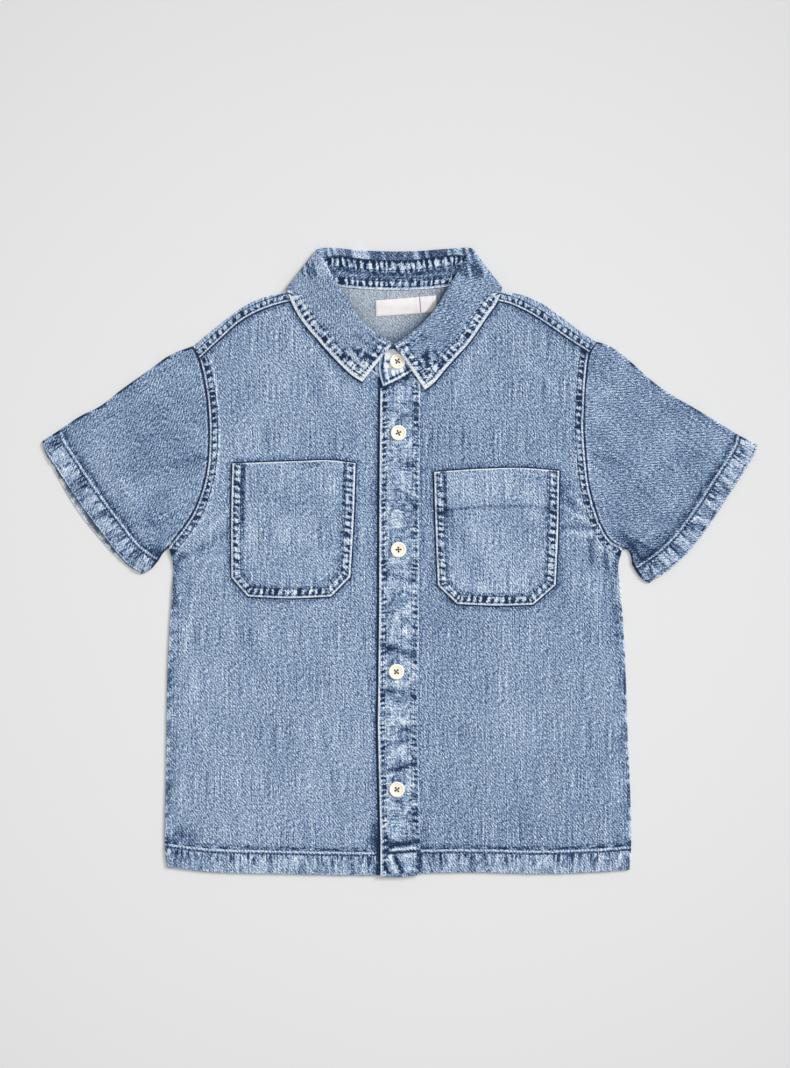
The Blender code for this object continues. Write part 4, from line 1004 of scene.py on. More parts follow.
def dye_group(name, stops):
    """A fade turned into a colour."""
    tree, (fade,), out = effect(name, {"Fade": 0.5}, {"Colour": "NodeSocketColor"})
    ramp = tree.nodes.new("ShaderNodeValToRGB")
    while len(ramp.color_ramp.elements) < len(stops):
        ramp.color_ramp.elements.new(0.5)
    for element, (place, colour) in zip(ramp.color_ramp.elements, stops):
        element.position = place
        element.color = (*colour, 1)
    plug(ramp.inputs[0], fade)
    plug(out["Colour"], Signal(tree, ramp.outputs[0]))
    return tree


OUTSIDE, INSIDE = dye_group("washed dye", DYE), dye_group("inside dye", INSIDE_DYE)


def denim(name, base, looks=(), dye=OUTSIDE, speck=1.0, slub=1.0, cross=0.0):
    """A denim from its weave and a list of (group, mark, values). Fades and heights add up."""
    material, tree, shader = new_material(name, DRY)
    fade, heights = mark(tree, "fade", "Fac") + base, []
    for group, key, values in [(WEAVE, "grain", {"Speck": speck, "Slub": slub, "Cross": cross}), *looks]:
        node = tree.nodes.new("ShaderNodeGroup")
        node.node_tree = group
        plug(node.inputs[0], mark(tree, key))
        for label, value in values.items():
            plug(node.inputs[label], value)
        fade = fade + Signal(tree, node.outputs["Fade"])
        heights.append(Signal(tree, node.outputs["Height"]))
    plug(shader["Base Color"], add(tree, "ShaderNodeGroup", fade, node_tree=dye))
    plug(shader["Normal"], relief(tree, sum(heights[1:], heights[0]), 0.8, MM))
    return material


felled_edge = edge_look("seam_a", 1.2, FELL_ROWS, -0.1, worn=0.8, strip_width=3.5, bare=0.3, fitful=2.2)
LINING = denim("denim, inside", 0.56, dye=INSIDE, speck=0.9, slub=0.7)
BODY = denim("denim, body", 0.5, [felled_edge, (HEM_LOOK, "seam_b", {"Flutes": 0.17, "Streaks": 1.5}),
                                  (COVER_SHADE_AND_UNFADED, "grain", {})], speck=1.12)
SHOULDER = denim("denim, back", 0.5, [felled_edge, (HEM_LOOK, "seam_b", {"Flutes": 0.06})])
print("materials so far:", len(bpy.data.materials))

# %% [markdown]
# ## Edges, wear and painted shade of the fronts
#
# A felled seam adds two layers of cloth. The side seams pucker and wear pale at the very edge.
# Beside everything that lies on a front the cloth has never rubbed, so it stays dark there, and a line
# of painted shadow runs right along its edge. Creases get a painted highlight on their ridges and
# painted shade in their hollows.

# %% Edges, wear and painted shade of the fronts
def felled(v):
    """What a felled seam adds to the wall near its edge."""
    return TURNED * ease((FELL_WIDTH - v) / STEP_RUN + 0.5)


def pocket_bottom(side):
    """A pocket's lower edge: its two cut corners and the curve between them."""
    line = POCKETS[side]["bottom"]
    return np.vstack([smooth_line(line[:2]), smooth_line(line[1:-1])[1:], smooth_line(line[-2:])[1:]])


def pocket_edge(side):
    """A pocket's stitched edge: down its outer side, along the bottom, up its inner side."""
    outer, inner = (smooth_line(POCKETS[side][name]) for name in ("outer", "inner"))
    return np.vstack([outer[::-1], pocket_bottom(side), inner])


def side_puckers(u, v):
    """Short puckers across the side seam, from -1 to 1."""
    return np.tanh(2.6 * cloud(u - 0.4 * v, v, 3.4, 7, 14))


def front_wear_and_shade(side, x, y):
    """Fade of a front: slow clouds, a little darker towards larger x, a dark side seam, painted highlight and
    shade on creases, and patches.
    """
    fade = 0.03 * cloud(x, y, 30, 46, 11) + 0.02 * cloud(x, y, 11, 17, 12) - 0.03 * ease(x / 40 + 0.5)
    along_side, off_side = seam_frame(SIDE[side], x, y)
    fade -= 0.16 * np.exp(-off_side / 6)
    fade += 0.34 * np.exp(-off_side / 3.5) * side_puckers(along_side, off_side)
    fade += 0.22 * ease(1.4 - off_side)
    # Creases and folds are painted paler on their ridges and darker in their hollows, as painted highlight
    # and shade; the patches add painted shade and wear.
    return fade + 0.3 * ridges(x, y, CREASES) + 0.06 * ridges(x, y, FOLDS) + ridges(x, y, SHADE_AND_WEAR_PATCHES)


def covered(side, x, y):
    """How far each point of a front is from what lies on it: pocket, placket, collar, shoulder seam."""
    pocket_top = smooth_line(POCKETS[side]["top"])[::-1]
    collar_edge = smooth_line([row[5:7] for row in COLLAR[side][5:]])
    lines = (np.vstack([pocket_edge(side), pocket_top]), collar_edge, SHOULDER_SEAM[side])
    off = [distance_to(line, x, y) for line in lines]
    from_placket = x - np.interp(y, *PLACKET_SWAY.T) + PLACKET_HALF
    if side == "right":
        # The placket's line is widened, most towards the hem, so its painted shadow is broader there.
        off.append(np.abs(from_placket) - 0.7 - 1.6 * ease((-190 - y) / 30))
    else:
        off.append(np.abs(from_placket - 2 * PLACKET_HALF) + 2.5)
    return np.minimum.reduce(off)


def hem_points(start, end, shares):
    """Points of the hem at shares of the way between two values of x."""
    x = start + shares * (end - start)
    return np.column_stack([x, np.interp(x, *HEM.T)])


def armhole_points(side, rows):
    """Points on the armhole: the rows of the front, then those of the back's shoulder flap."""
    line = ARMHOLE[side]
    at = np.linalg.norm(line - SHOULDER_SEAM[side][0], axis=1).argmin()
    return np.vstack([along(line[: at + 1], rows), along(line[at:], [0.5, 1])])


def hem_marks(x, y, seed):
    """Along the body's hem, height above it, and its flutes."""
    up = y - np.interp(x, *HEM.T)
    return x, up, np.tanh(2 * cloud(x, up, 2.6, 9, seed))


print("stitched edges of the pockets:", [round(lengths(pocket_edge(side))[-1]) for side in SIDES], "mm")

# %% [markdown]
# ## The two fronts
#
# Each front is one panel from the hem to the shoulder, pressed flat by its own weight. A grid whose
# sides are the seams follows the cut, and its rows crowd where the cloth is stitched: along the hem
# and the armhole, where the felled seam stands up and ropes.

# %% The two fronts
CHEST_ROWS = graded(ARMHOLE_RUN, end=6, coarse=1.25)


def front_plans(side, far):
    """Plan points of a front's two grids: from the hem to the underarm, and on to the shoulder."""
    columns = np.append(graded(SHOULDER_RUN, start=15) * NECK_SHARE,
                        NECK_SHARE + graded(NECK_RUN)[1:] * (1 - NECK_SHARE))
    rows = graded(SIDE_RUN, start=21)
    low = hem_points(HEM[0 if side == "right" else -1, 0], far, columns)
    underarm = ARMHOLE[side][0]
    waist = along(np.array([underarm, (far, underarm[1])]), columns)
    edge = np.column_stack([np.full(len(rows), far), low[-1, 1] + rows * (waist[-1, 1] - low[-1, 1])])
    body = patch(low, waist, along(SIDE[side], rows, "y"), edge, columns, rows)
    seam, neck = SHOULDER_SEAM[side], NECK_FRONT[side]
    neck = neck[neck[:, 1] <= SHOULDER_SEAM[side][-1][1]]
    at_seam = columns <= NECK_SHARE
    top = np.vstack([along(seam, columns[at_seam] / NECK_SHARE),
                     along(neck, (columns[~at_seam] - NECK_SHARE) / (1 - NECK_SHARE))])
    rise = waist[-1, 1] + CHEST_ROWS * (top[-1, 1] - waist[-1, 1])
    edge = np.column_stack([np.full(len(rise), far), rise])
    arm = armhole_points(side, CHEST_ROWS)[: len(CHEST_ROWS)]
    return body, patch(waist, top, arm, edge, columns, CHEST_ROWS)


def front(side, far):
    """A front panel, from its side seam and armhole to its free edge at x = `far`."""
    patches = []
    for plan in front_plans(side, far):
        grid = raised(plan[:, ::-1] if side == "left" else plan, front_height)
        x, y = grid[..., 0], grid[..., 1]
        u, v = seam_frame(ARMHOLE[side], x, y)
        count = rungs(u, v, 21 if side == "left" else 22)
        hem_seam = hem_marks(x, y, 23)
        hem_up, flutes = hem_seam[1:]
        along_side, beside = seam_frame(SIDE[side], x, y)
        extra = TURNED * ease((HEM_DEPTH - hem_up) / STEP_RUN + 0.5) + felled(v)
        pucker = 0.2 * roping(count, u, v, 24) * ease((FELL_WIDTH + 2 - v) / 2)
        pucker += 0.25 * flutes * ease((HEM_DEPTH - 1 - hem_up) / 3)
        pucker += 0.3 * side_puckers(along_side, beside) * ease((8 - beside) / 6) * ease(beside)
        curl = rounded(v) + rounded(hem_up) + rounded(beside)
        patches.append(sheet_patch(grid, CLOTH / 2 + extra + pucker - curl, INNER_FACE, (u, v, count),
                                   hem_seam, front_wear_and_shade(side, x, y), cover=covered(side, x, y)))
    cloth("front_" + side, patches, (BODY, LINING), upright=True)


front("right", UNDERLAP_X)
front("left", OVERLAP_X)

# %% [markdown]
# ## The back and its shoulder flaps
#
# The back wraps over both shoulders: from the table it turns up round a tight fold and runs on to a
# felled seam on the front. Inside, between the collar's leaves, its pale wrong side shows.

# %% The back and its shoulder flaps
def shoulder_flap(side, shares, steps=8):
    """The strip of the back that wraps over the shoulder: half a circle, then across to the seam."""
    fold = along(SHOULDER_FOLD[side], shares)
    seam = along(SHOULDER_SEAM[side], shares)
    inward = unit(seam - fold)
    seam = seam - SEAM_GAP * inward
    turn = fold + (FOLD_RADIUS + CLOTH / 2) * inward
    low, high = back_height(*turn.T), front_height(*turn.T)
    rows = []
    for angle in np.linspace(-np.pi / 2, np.pi / 2, steps + 1):
        plan = turn - FOLD_RADIUS * np.cos(angle) * inward
        rows.append(np.column_stack([plan, (low + high) / 2 + (high - low) / 2 * np.sin(angle)]))
    for share in graded(11, end=5, fine=0.8, coarse=1.0)[1:]:
        plan = turn + share * (seam - turn)
        rows.append(np.column_stack([plan, front_height(*plan.T)]))
    return np.array(rows)


def back_plans(flaps):
    """Plan points of the back's two grids, between the feet of its shoulder flaps."""
    neck = along(NECK_BACK, np.linspace(0, 1, 72))
    top = np.vstack([flaps["right"][0, :, :2], neck[1:-1], flaps["left"][0, ::-1, :2]])
    columns = (top[:, 0] - top[0, 0]) / (top[-1, 0] - top[0, 0])
    rows = graded(SIDE_RUN, start=20, fine=1.6, coarse=4.5)
    low = hem_points(HEM[0, 0], HEM[-1, 0], columns)
    waist = along(np.array([ARMHOLE[side][0] for side in SIDES]), columns)
    sides = [along(SIDE[side], rows, "y") for side in SIDES]
    body = patch(low, waist, *sides, columns, rows)
    rows = graded(ARMHOLE_RUN, coarse=3.4)
    arms = [armhole_points(side, rows) for side in SIDES]
    arms[0][-1], arms[1][-1] = top[0], top[-1]
    rows = np.append(rows * SEAM_SHARE, [(1 + SEAM_SHARE) / 2, 1])
    return body, patch(waist, top, *arms, columns, rows)


def back():
    """The back, flat on the table, with a flap over each shoulder."""
    shares = graded(SHOULDER_RUN, end=2, coarse=1.15)
    flaps = {side: shoulder_flap(side, shares) for side in SIDES}
    patches = []
    for plan in back_plans(flaps):
        grid = raised(plan, back_height)
        x, y = grid[..., 0], grid[..., 1]
        u, v = on_own_side([seam_frame(ARMHOLE[side], x, y) for side in SIDES], x)
        right_roll, left_roll = (smooth_line([row[2:4] for row in COLLAR[side][4:]]) for side in SIDES)
        shadow = 0.75 * np.exp(-distance_to(left_roll, x, y) / 5)
        shadow += 0.3 * np.exp(-distance_to(right_roll, x, y) / 4)
        patches.append(sheet_patch(grid, CLOTH / 2, CLOTH / 2, (u, v, rungs(u, v, 32)),
                                   hem_marks(x, y, 33),
                                   0.06 * cloud(x, y, 16, 24, 31) - (y > NECK_FOOT_Y) * shadow))
    for side, grid in (("right", flaps["right"]), ("left", flaps["left"][:, ::-1])):
        u, v = seam_frame(SHOULDER_SEAM[side], grid[..., 0], grid[..., 1])
        v = np.where(np.arange(len(grid))[:, None] < 5, FAR, v)
        count = rungs(u, v, 34)
        extra = 0.12 * roping(count, u, v, 36) * ease((8 - v) / 2) * (v < FAR) - rounded(v, 0.4)
        patches.append(sheet_patch(grid, CLOTH / 2, CLOTH / 2 + extra, (u, v, count),
                                   fade=0.05 * cloud(u, v, 9, 9, 35)))
    cloth("back", patches, (SHOULDER, LINING), outside_up=False)


back()

# %% [markdown]
# ## Plan of a sleeve
#
# A sleeve hangs from the armhole and ends at its cuff. Between its two folds each layer is a grid
# in two parts: the arm, and the hem that is turned up. The folds leave room for their rounding.

# %% Plan of a sleeve
SLEEVE_MIDDLE = {"right": np.array([-205.0, 78.0]), "left": np.array([200.0, 76.0])}


def into(line, middle):
    """Unit vectors square to a line, on the side where `middle` lies."""
    run = unit(np.gradient(line, axis=0))
    square = np.stack([-run[:, 1], run[:, 0]], 1)
    return square * np.sign((square * (middle - line)).sum(1, keepdims=True))


def moved_ends(line, start, end, run=9.0):
    """A line whose two ends are moved to new points, easing out over `run` millimetres."""
    reach = lengths(line)
    first, last = ease(1 - reach / run), ease(1 - (reach[-1] - reach) / run)
    return line + first[:, None] * (start - line[0]) + last[:, None] * (end - line[-1])


def sleeve_plan(side, shares, steps, turns):
    """Plan of a sleeve's one layer between its folds, rows from the armhole to the hem's edge."""
    middle = SLEEVE_MIDDLE[side]
    gap = SEAM_GAP + CORNER_GAP * ease(1 - shares / 0.1)
    arm = along(ARMHOLE[side], shares)
    arm = arm + gap[:, None] * into(arm, middle)
    folds, ways = [], []
    for end, first, second in ((0, SLEEVE_UNDER, HEM_UNDER), (-1, SLEEVE_TOP, HEM_TOP)):
        fold = np.vstack([arm[end], along(first[side], steps)[1:],
                          along(second[side], turns)[1:]])
        square = into(fold, middle)
        folds.append(fold + (CLOTH / 2 + FOLD_RADIUS) * square)
        ways.append(-square)
    under, top = folds
    at = len(steps) - 1
    arm = moved_ends(arm, under[0], top[0])
    hem_line = moved_ends(along(SLEEVE_HEM_LINE[side], shares), under[at], top[at])
    cuff = moved_ends(along(CUFF[side], shares), under[-1], top[-1])
    upper = patch(arm, hem_line, under[: at + 1], top[: at + 1], shares, steps)
    hem = patch(hem_line, cuff, under[at:], top[at:], shares, turns)
    return np.vstack([upper, hem[1:]]), *ways


print("armholes:", [round(lengths(ARMHOLE[side])[-1]) for side in SIDES], "mm along the front")

# %% [markdown]
# ## The sleeves
#
# A short sleeve is a tube, pressed flat: an upper layer, a fold along its top, a lower layer and the
# underarm fold. Its hem is turned up like the body's. The warp runs down the arm, so the streaks of
# the weave lean with it.

# %% The sleeves
CUFF_LOOK = {"Depth": CUFF_DEPTH, "Flutes": 0.14, "Streaks": 1.7, "Shade": 0.75, "Edge row": 0.8}
SLEEVE = denim("denim, sleeve", 0.443, [(HEM_LOOK, "seam_b", CUFF_LOOK)], speck=1.12, slub=0.6)


def ring(start, end, away, steps=6):
    """Points round a folded edge, from the upper layer down to the lower one: half an ellipse."""
    points = []
    for angle in np.linspace(np.pi / 2, -np.pi / 2, steps + 1)[1:-1]:
        middle = (start + end) / 2 + (start - end) / 2 * np.sin(angle)
        middle[:, :2] += away * FOLD_RADIUS * np.cos(angle)
        points.append(middle)
    return np.stack(points, 1)


def sleeve(side):
    """A sleeve as a flattened tube, open at the armhole and at its hem."""
    shares, steps = graded(ARM_WIDTH, coarse=1.35), graded(ARM_RUN, start=4, end=6, coarse=2.0)
    turns = graded(CUFF_RUN, end=2, coarse=1.0)
    plan, under_out, top_out = sleeve_plan(side, shares, steps, turns)
    shown = np.append(np.zeros(len(steps) - 1), turns)
    spread = CUFF_SHOW * np.sin(np.pi * shares) if side == "right" else 0 * shares
    outward = unit(plan[-1] - plan[len(steps) - 1])
    low = plan + shown[:, None, None] * outward * spread[:, None]
    upper = raised(plan, front_height)
    lower = np.dstack([low, np.full(plan.shape[:2], BACK_Z)])
    grid = np.hstack([upper, ring(upper[:, -1], lower[:, -1], top_out), lower[:, ::-1],
                      ring(upper[:, 0], lower[:, 0], under_out)[:, ::-1], upper[:, :1]])
    x, y = grid[..., 0], grid[..., 1]
    on_top = np.zeros(grid.shape[:2])
    on_top[:, 1 : plan.shape[1] - 1] = 1
    u, v = seam_frame(ARMHOLE[side], x, y)
    cuff_u, cuff_v = seam_frame(CUFF[side], x, y)
    flute = np.tanh(3.5 * (cloud(cuff_u, cuff_v, 4.4, 24, 41 if side == "left" else 42)
                           + 0.6 * cloud(cuff_u, cuff_v, 2.4, 12, 46)))
    turned = ease((CUFF_DEPTH - cuff_v) / STEP_RUN + 0.5) * on_top
    gather = np.tanh(2 * cloud(u, v, 2.8, 6, 43))
    puckers = on_top * (0.42 * flute * ease((14 - cuff_v) / 3) + 0.14 * gather * ease((7 - v) / 5))

    fade = 0.06 * cloud(x, y, 18, 18, 44) + 0.04 * cloud(x, y, 7, 7, 45)
    # Along the armhole seam: a painted highlight at 2.3 mm, a painted shadow line where the body's felled
    # edge stands over the sleeve, and darker cloth within 7 mm of the seam, uneven with its gathers.
    fade += 0.22 * bell(v, 2.3, 0.6) - 0.8 * ease((1.7 - v) / 0.8) - 0.1 * ease((7 - v) / 6) * (0.5 + gather)
    # Creases painted paler on their ridges and darker in their hollows, as painted highlight and shade, the
    # patches of painted shade and wear, and a slightly paler turned hem.
    fade += 0.3 * ridges(x, y, CREASES) + ridges(x, y, SHADE_AND_WEAR_PATCHES) + 0.03 * ease((15 - cuff_v) / 2)
    fade -= 0.1 * ease((24 - cuff_v) / 5) * ease((cuff_v - 15) / 2)
    # The lower layer is painted darker as shade under the upper one: unevenly, darkest along the upper
    # layer's cuff edge, and less so along its own edge.
    below = 0.3 + 0.4 * np.tanh(3 * cloud(cuff_u, cuff_v, 2.4, 6, 47)) + 0.7 * bell(cuff_v, 0, 1.0)
    below -= 0.6 * ease((1.2 - distance_to(low[-1], x, y)) / 0.5) * ease((cuff_v - 0.9) / 0.4)
    run = unit(SLEEVE_TOP[side][-1] - SLEEVE_TOP[side][0])
    part = sheet_patch(grid, CLOTH / 2 + TURNED * turned + puckers, INNER_FACE,
                       seam_b=(cuff_u, cuff_v, flute), fade=np.where(on_top > 0, fade, -below),
                       grain=(x * run[1] - y * run[0], x * run[0] + y * run[1]))
    cloth("sleeve_" + side, [flipped(part) if side == "left" else part], (SLEEVE, LINING))


sleeve("right")
sleeve("left")

# %% [markdown]
# ## Placket
#
# The placket is a band folded to double cloth and stitched down both sides. Between its rows the
# washing pulls it into cross creases, bare on top and dark in between.

# %% Placket
# Dark and pale creases across the placket: from x, y, to x, y, half width, fade.
PLACKET_MARKS = [
    (-14, -60, 12, -69, 2.2, -0.5), (-12, -66, 0, -62, 1.4, -0.25), (-13, -94, 12, -96, 1.2, -0.4),
    (-13, -151.5, -1, -152, 1.2, -0.3), (-2, -152, 13, -146, 1.9, -0.5), (4, -122, 14, -122, 1.8, -0.35),
    (2, -130, 14, -132, 1.4, -0.3), (2, 52, 12, 40, 1.6, -0.4), (-4, 60, 6, 48, 1.4, 0.15),
    (-10, 112, 12, 104, 2, -0.25), (-12, 76, 10, 70, 1.6, -0.25), (-12, -8, 12, -14, 1.6, -0.3),
    (-12, -112, -3, -109, 1.2, -0.2), (-9, -207.5, 15, -203.5, 2.0, -0.75),
    (-13, -213, 14, -210.8, 1.0, -0.7), (-12, -198, -7, -206, 1.8, -0.5),
    (14.2, -211, 14.2, -227, 1.3, -0.75), (-8, -210.4, 13, -208.2, 0.8, 0.6),
    (-7.5, -215, -3, -227, 1.0, 0.6), (-4.5, -213, 1.7, -227, 1.3, -0.85),
    (-12, -220, -8, -228, 1.4, -0.75), (3, -217, 8, -224, 2.4, 0.2), (6, -183, 14, -183, 2.0, -0.45),
    (7, -189.5, 13, -189.5, 1.2, -0.4), (4, -172, 13, -172, 2.2, -0.35),
    (-3, -174.5, 2, -174.5, 1.3, -0.45), (2, -153.5, 8, -153.5, 2.2, 0.2), (-10, -188, -10, -194, 1.6, 0.3),
    (-8, -179, -3, -179, 2.0, 0.15), (-13, 126, 8, 134, 2.4, -0.2), (-7, -90, 7, -90, 2.6, 0.18),
    (3, -117, 8, -117, 2.4, 0.22), (5, -132, 5, -142, 2.8, 0.24), (3, -51, 8, -51, 2.4, 0.22),
    (-4, -102, -4, -120, 3.5, 0.1), (-9, -158, -6, -158, 2, 0.2), (7, -158, 11, -157, 2, 0.2),
    (6, -30, 6, -38, 2.6, 0.2), (-6, 30, 2, 26, 2.6, 0.2), (4, 84, 9, 84, 2.2, 0.22),
    (-6, 118, 2, 120, 2.2, 0.2),
]
# The upper end of each buttonhole, which shows above its button: from x, y, to x, y off the button.
BUTTONHOLE = [(-1.7, 4, -1.7, 9), (1.9, 4, 1.9, 9), (-1.7, 9.3, 1.9, 9.5)]
PLACKET_MARKS += [(x + a, y + b, x + c, y + d, 0.8, -0.5) for x, y in BUTTONS[1:]
                  for a, b, c, d in BUTTONHOLE]
FREE_EDGE_ROW, PLACKET_ROWS = 2.8, (2.4, 5.4)
PLACKET = denim("denim, placket", 0.53, [
    edge_look("seam_a", 1.2, (FREE_EDGE_ROW, 4.8), worn=0.9, rungs=0.85, groove=0.6, fitful=3.0),
    edge_look("seam_b", 0.6, PLACKET_ROWS, worn=0.5, rungs=0.6, groove=0.3, bare=0.16, fitful=3.5),
    (COVER_SHADE_AND_UNFADED, "grain", {"Line": 0.9}),
], cross=0.7)


def placket_fade(x, y, inner, crease, foot_up):
    """Cross creases and crumples off the edges, the marks, and the foot's hem: dark above, pale on top."""
    crumple = np.tanh(3 * cloud(x + y / 2, y, 2.4, 1.7, 56)) + np.tanh(3 * cloud(x, y, 1.8, 3.1, 57))
    fade = (0.09 * crease + 0.08 * crumple) * inner + 0.07 * cloud(x, y, 5, 7, 53)
    above_hem = foot_up - HEM_DEPTH
    fade += 0.2 * bell(above_hem, -0.3, 0.8) - 0.12 * bell(above_hem, 2, 1.5)
    return fade + ridges(x, y, PLACKET_MARKS)


def placket():
    """The double band down the left front that laps over the right one."""
    columns = graded(2 * PLACKET_HALF, start=7, end=7, fine=0.8, coarse=1.1)
    waist = np.column_stack([PLACKET_HALF * (2 * columns - 1),
                             np.full(len(columns), ARMHOLE["right"][0][1])])
    low, high = (along(smooth_line(line), columns, "x") for line in (PLACKET_BOTTOM, PLACKET_TOP))
    # The stand's end lies on the placket's head, and a painted shadow line runs along its edge.
    stand_foot = smooth_line([row[:2] for row in STAND_OVERLAP[::-1]] + [(27, 150)])
    patches = []
    for foot, head, rows in ((low, waist, graded(PLACKET_LOWER_RUN, start=20, coarse=1.25)),
                             (waist, high, graded(PLACKET_UPPER_RUN, end=3, coarse=1.25))):
        ends = [foot[end] + rows[:, None] * (head[end] - foot[end]) for end in (0, -1)]
        plan = patch(foot, head, *ends, columns, rows)
        x, y = plan[..., 0], plan[..., 1]
        grid = raised(np.dstack([x + np.interp(y, *PLACKET_SWAY.T), y]), front_height)
        left, right = x + PLACKET_HALF, PLACKET_HALF - x
        foot_up = y - np.interp(x, *np.array(PLACKET_BOTTOM).T)
        crease = np.tanh(2.4 * (cloud(x, y, 9, 4, 51) + 0.6 * cloud(x - y / 2, y, 4, 2, 52)))
        under = RESTING + TURNED * ease((HEM_DEPTH + 0.6 - foot_up) / STEP_RUN)
        inner = ease((left - 1) / 2) * ease((right - 0.5) / 2)
        curl = rounded(left) + rounded(right, 0.4) + rounded(foot_up, 0.5)
        patches.append(sheet_patch(
            grid, under + PLACKET_WALL + 0.24 * crease * inner - curl, -under,
            (y, left, rungs(y, left, 54, 4.2)), (y, right, rungs(y, right, 55, 4.6)),
            placket_fade(x, y, inner, crease, foot_up), cover=distance_to(stand_foot, x, y)))
    cloth("placket", patches, (PLACKET, LINING), upright=True)


placket()

# %% [markdown]
# ## Chest pockets
#
# A patch pocket has its edges turned in and two rows of stitches round them. Its thin edge rubs to a
# bare white line, the band between the rows ropes, and just past the inner row a strip stays dark.

# %% Chest pockets
POCKET_ROWS, UNSTITCHED = (2.1, 6.6), (-9.0, -9.0)
POCKET = denim("denim, pocket", 0.525, [
    edge_look("seam_a", 1.0, POCKET_ROWS, 0.3, strip_width=2.4, rays=0.5),
    edge_look("seam_b", 0.8, UNSTITCHED, worn=0.0, rungs=0.0),
], speck=1.1)


def past_rows(v, end, soft):
    """A band that starts just past the pocket's rows of stitches and ends softly before `end`."""
    return ease((end - v) / soft) * ease((v - 7) / 0.8)


def pocket_wear(side, x, y, u, v, down, seed):
    """What washing left on each pocket: the line of its top hem or a darn, and strips along its rows."""
    if side == "right":
        outer = past_rows(v, 10.6, 1.2) * ease((62 - down) / 20) * (x < -80)
        inner = past_rows(v, 8.8, 1.0) * ease((34 - down) / 8) * (x > -80)
        darn = ease(1.4 - np.hypot((x + 65.5) / 7, (y - 71) / 1.6))
        return (-0.34 * outer - 0.36 * inner - 0.1 * bell(v, 10.5, 1.4) * (x > -80) * (down > 30)
                - 0.25 * darn * (0.4 + 0.8 * (cloud(x, y, 2, 2, seed + 4) > 0)))
    off_hem, inner = down - POCKET_HEM, x < 70
    fade = 0.01 * ease(-off_hem / STEP_RUN)
    fade -= 0.36 * bell(off_hem, 0, 0.9) * (0.8 + 0.5 * cloud(u, down, 9, 9, seed + 3))
    fade -= 0.5 * bell(v, 4.6, 4.5) * bell(off_hem, 2, 2.4) * inner
    fade -= 0.3 * bell(v, 4.6, 3.5) * bell(off_hem, 1, 1.6) * ~inner
    fade -= 0.12 * bell(v, 10, 3) * ease((down - 26) / 4) * ease((60 - down) / 20)
    return fade - 0.36 * past_rows(v, 9, 1.0) * ease((32 - down) / 4) * inner


def pocket(side, seed):
    """A patch pocket with cut lower corners, laid on its front."""
    top, outer, inner = (smooth_line(POCKETS[side][name]) for name in ("top", "outer", "inner"))
    columns = graded(POCKET_WIDTH, start=12, end=12, fine=0.9, coarse=1.35)
    rows = graded(POCKET_RUN, start=12, end=4, fine=0.9, coarse=1.35)
    grid = raised(patch(along(pocket_bottom(side), columns, "x"), along(top, columns, "x"),
                        along(outer, rows, "y"), along(inner, rows, "y"), columns, rows), front_height)
    x, y = grid[..., 0], grid[..., 1]
    u, v = seam_frame(pocket_edge(side), x, y)
    top_u, down = seam_frame(top, x, y)
    count = rungs(u, v, seed, 5.2)
    above = RESTING + POCKET_WALL + TURNED * ease((POCKET_HEM - down) / STEP_RUN)
    above = above + 0.22 * roping(count, u, v, seed + 7) * ease(v - 1) * ease((9 - v) / 2)
    above = above + 0.1 * cloud(x, y, 12, 12, seed + 5) - rounded(v, 0.6) - rounded(down, 0.6)
    fade = 0.06 * cloud(x, y, 14, 20, seed + 1) + 0.04 * cloud(x, y, 6, 6, seed + 2)
    fade += pocket_wear(side, x, y, u, v, down, seed)
    fade += 0.1 * bell(v, 11, 3.5) * (down > 70) * cloud(u, v, 3.2, 8, seed + 6)
    part = sheet_patch(grid, above, -RESTING, (u, v, count), (top_u, down, 0), fade)
    cloth("pocket_" + side, [part], (POCKET, LINING), upright=True)


pocket("right", 61)
pocket("left", 71)

# %% [markdown]
# ## Collar: its sections
#
# The collar has two parts: a stand that rises from the neck seam, and a fall that rolls over it and
# lies on the shoulders, ending in two points. Both are profiles carried round the neck. Behind, the
# fall is tucked under the back, so the roll turns over as it comes round the corners of the neck.

# %% Collar: its sections
COLLAR_LOOK = denim("denim, collar", 0.5, [
    edge_look("seam_a", 2.1, (3.5, 8.4), 0.12, worn=1.6, rungs=1.2, fitful=4.5, reach=0.12),
    edge_look("seam_b", 1.9, (3.3, 7.4), 0.1, worn=1.6, rungs=0.9, fitful=3.6),
], speck=1.1, slub=0.6, cross=0.25)
STAND_LOOK = denim("denim, stand", 0.5, [
    edge_look("seam_a", 1.3, (2.4, 6.4), 0.3, worn=1.5, rungs=1.1, fitful=2.6),
    edge_look("seam_b", 0.2, (1.6, 7.4), 0.35, worn=1.7, rungs=1.1, strip_width=4.0, fitful=2.6),
], slub=0.5, cross=0.6)


def collar_sections(steps=8):
    """The collar's sections from the right front end to the left one, as a smooth table."""
    table = []
    for side, rows in (("right", COLLAR["right"][::-1]), ("back", [COLLAR_CENTRE]), ("left", COLLAR["left"])):
        for row in np.array(rows, float):
            neck = NECK_BACK if row[10] < 0.5 else NECK_FRONT[side]
            row[:2] = neck[np.linalg.norm(neck - row[:2], axis=1).argmin()]
            table.append(row)
    return smooth_line(np.array(table), steps)


def stand_base(sections):
    """Heights of the neck seam and of the fall's free edge at each section."""
    neck, edge, over = sections[:, :2], sections[:, 5:7], sections[:, 10]
    on_front, in_front = front_height(*neck.T), over > 0.99
    on_front += np.interp(neck[:, 0], *np.array(STAND_CLIMB).T) * (neck[:, 0] > 0) * in_front
    on_front -= np.interp(neck[:, 0], *np.array(STAND_SINK).T) * (neck[:, 0] < 0) * in_front
    neck_z = (1 - over) * (back_height(*neck.T) + NECK_SEAM_RISE) + over * on_front
    resting = front_height(*edge.T) + RESTING + LEAF_WALL / 2 + sections[:, 7]
    return neck_z, (1 - over) * FALL_Z + over * resting


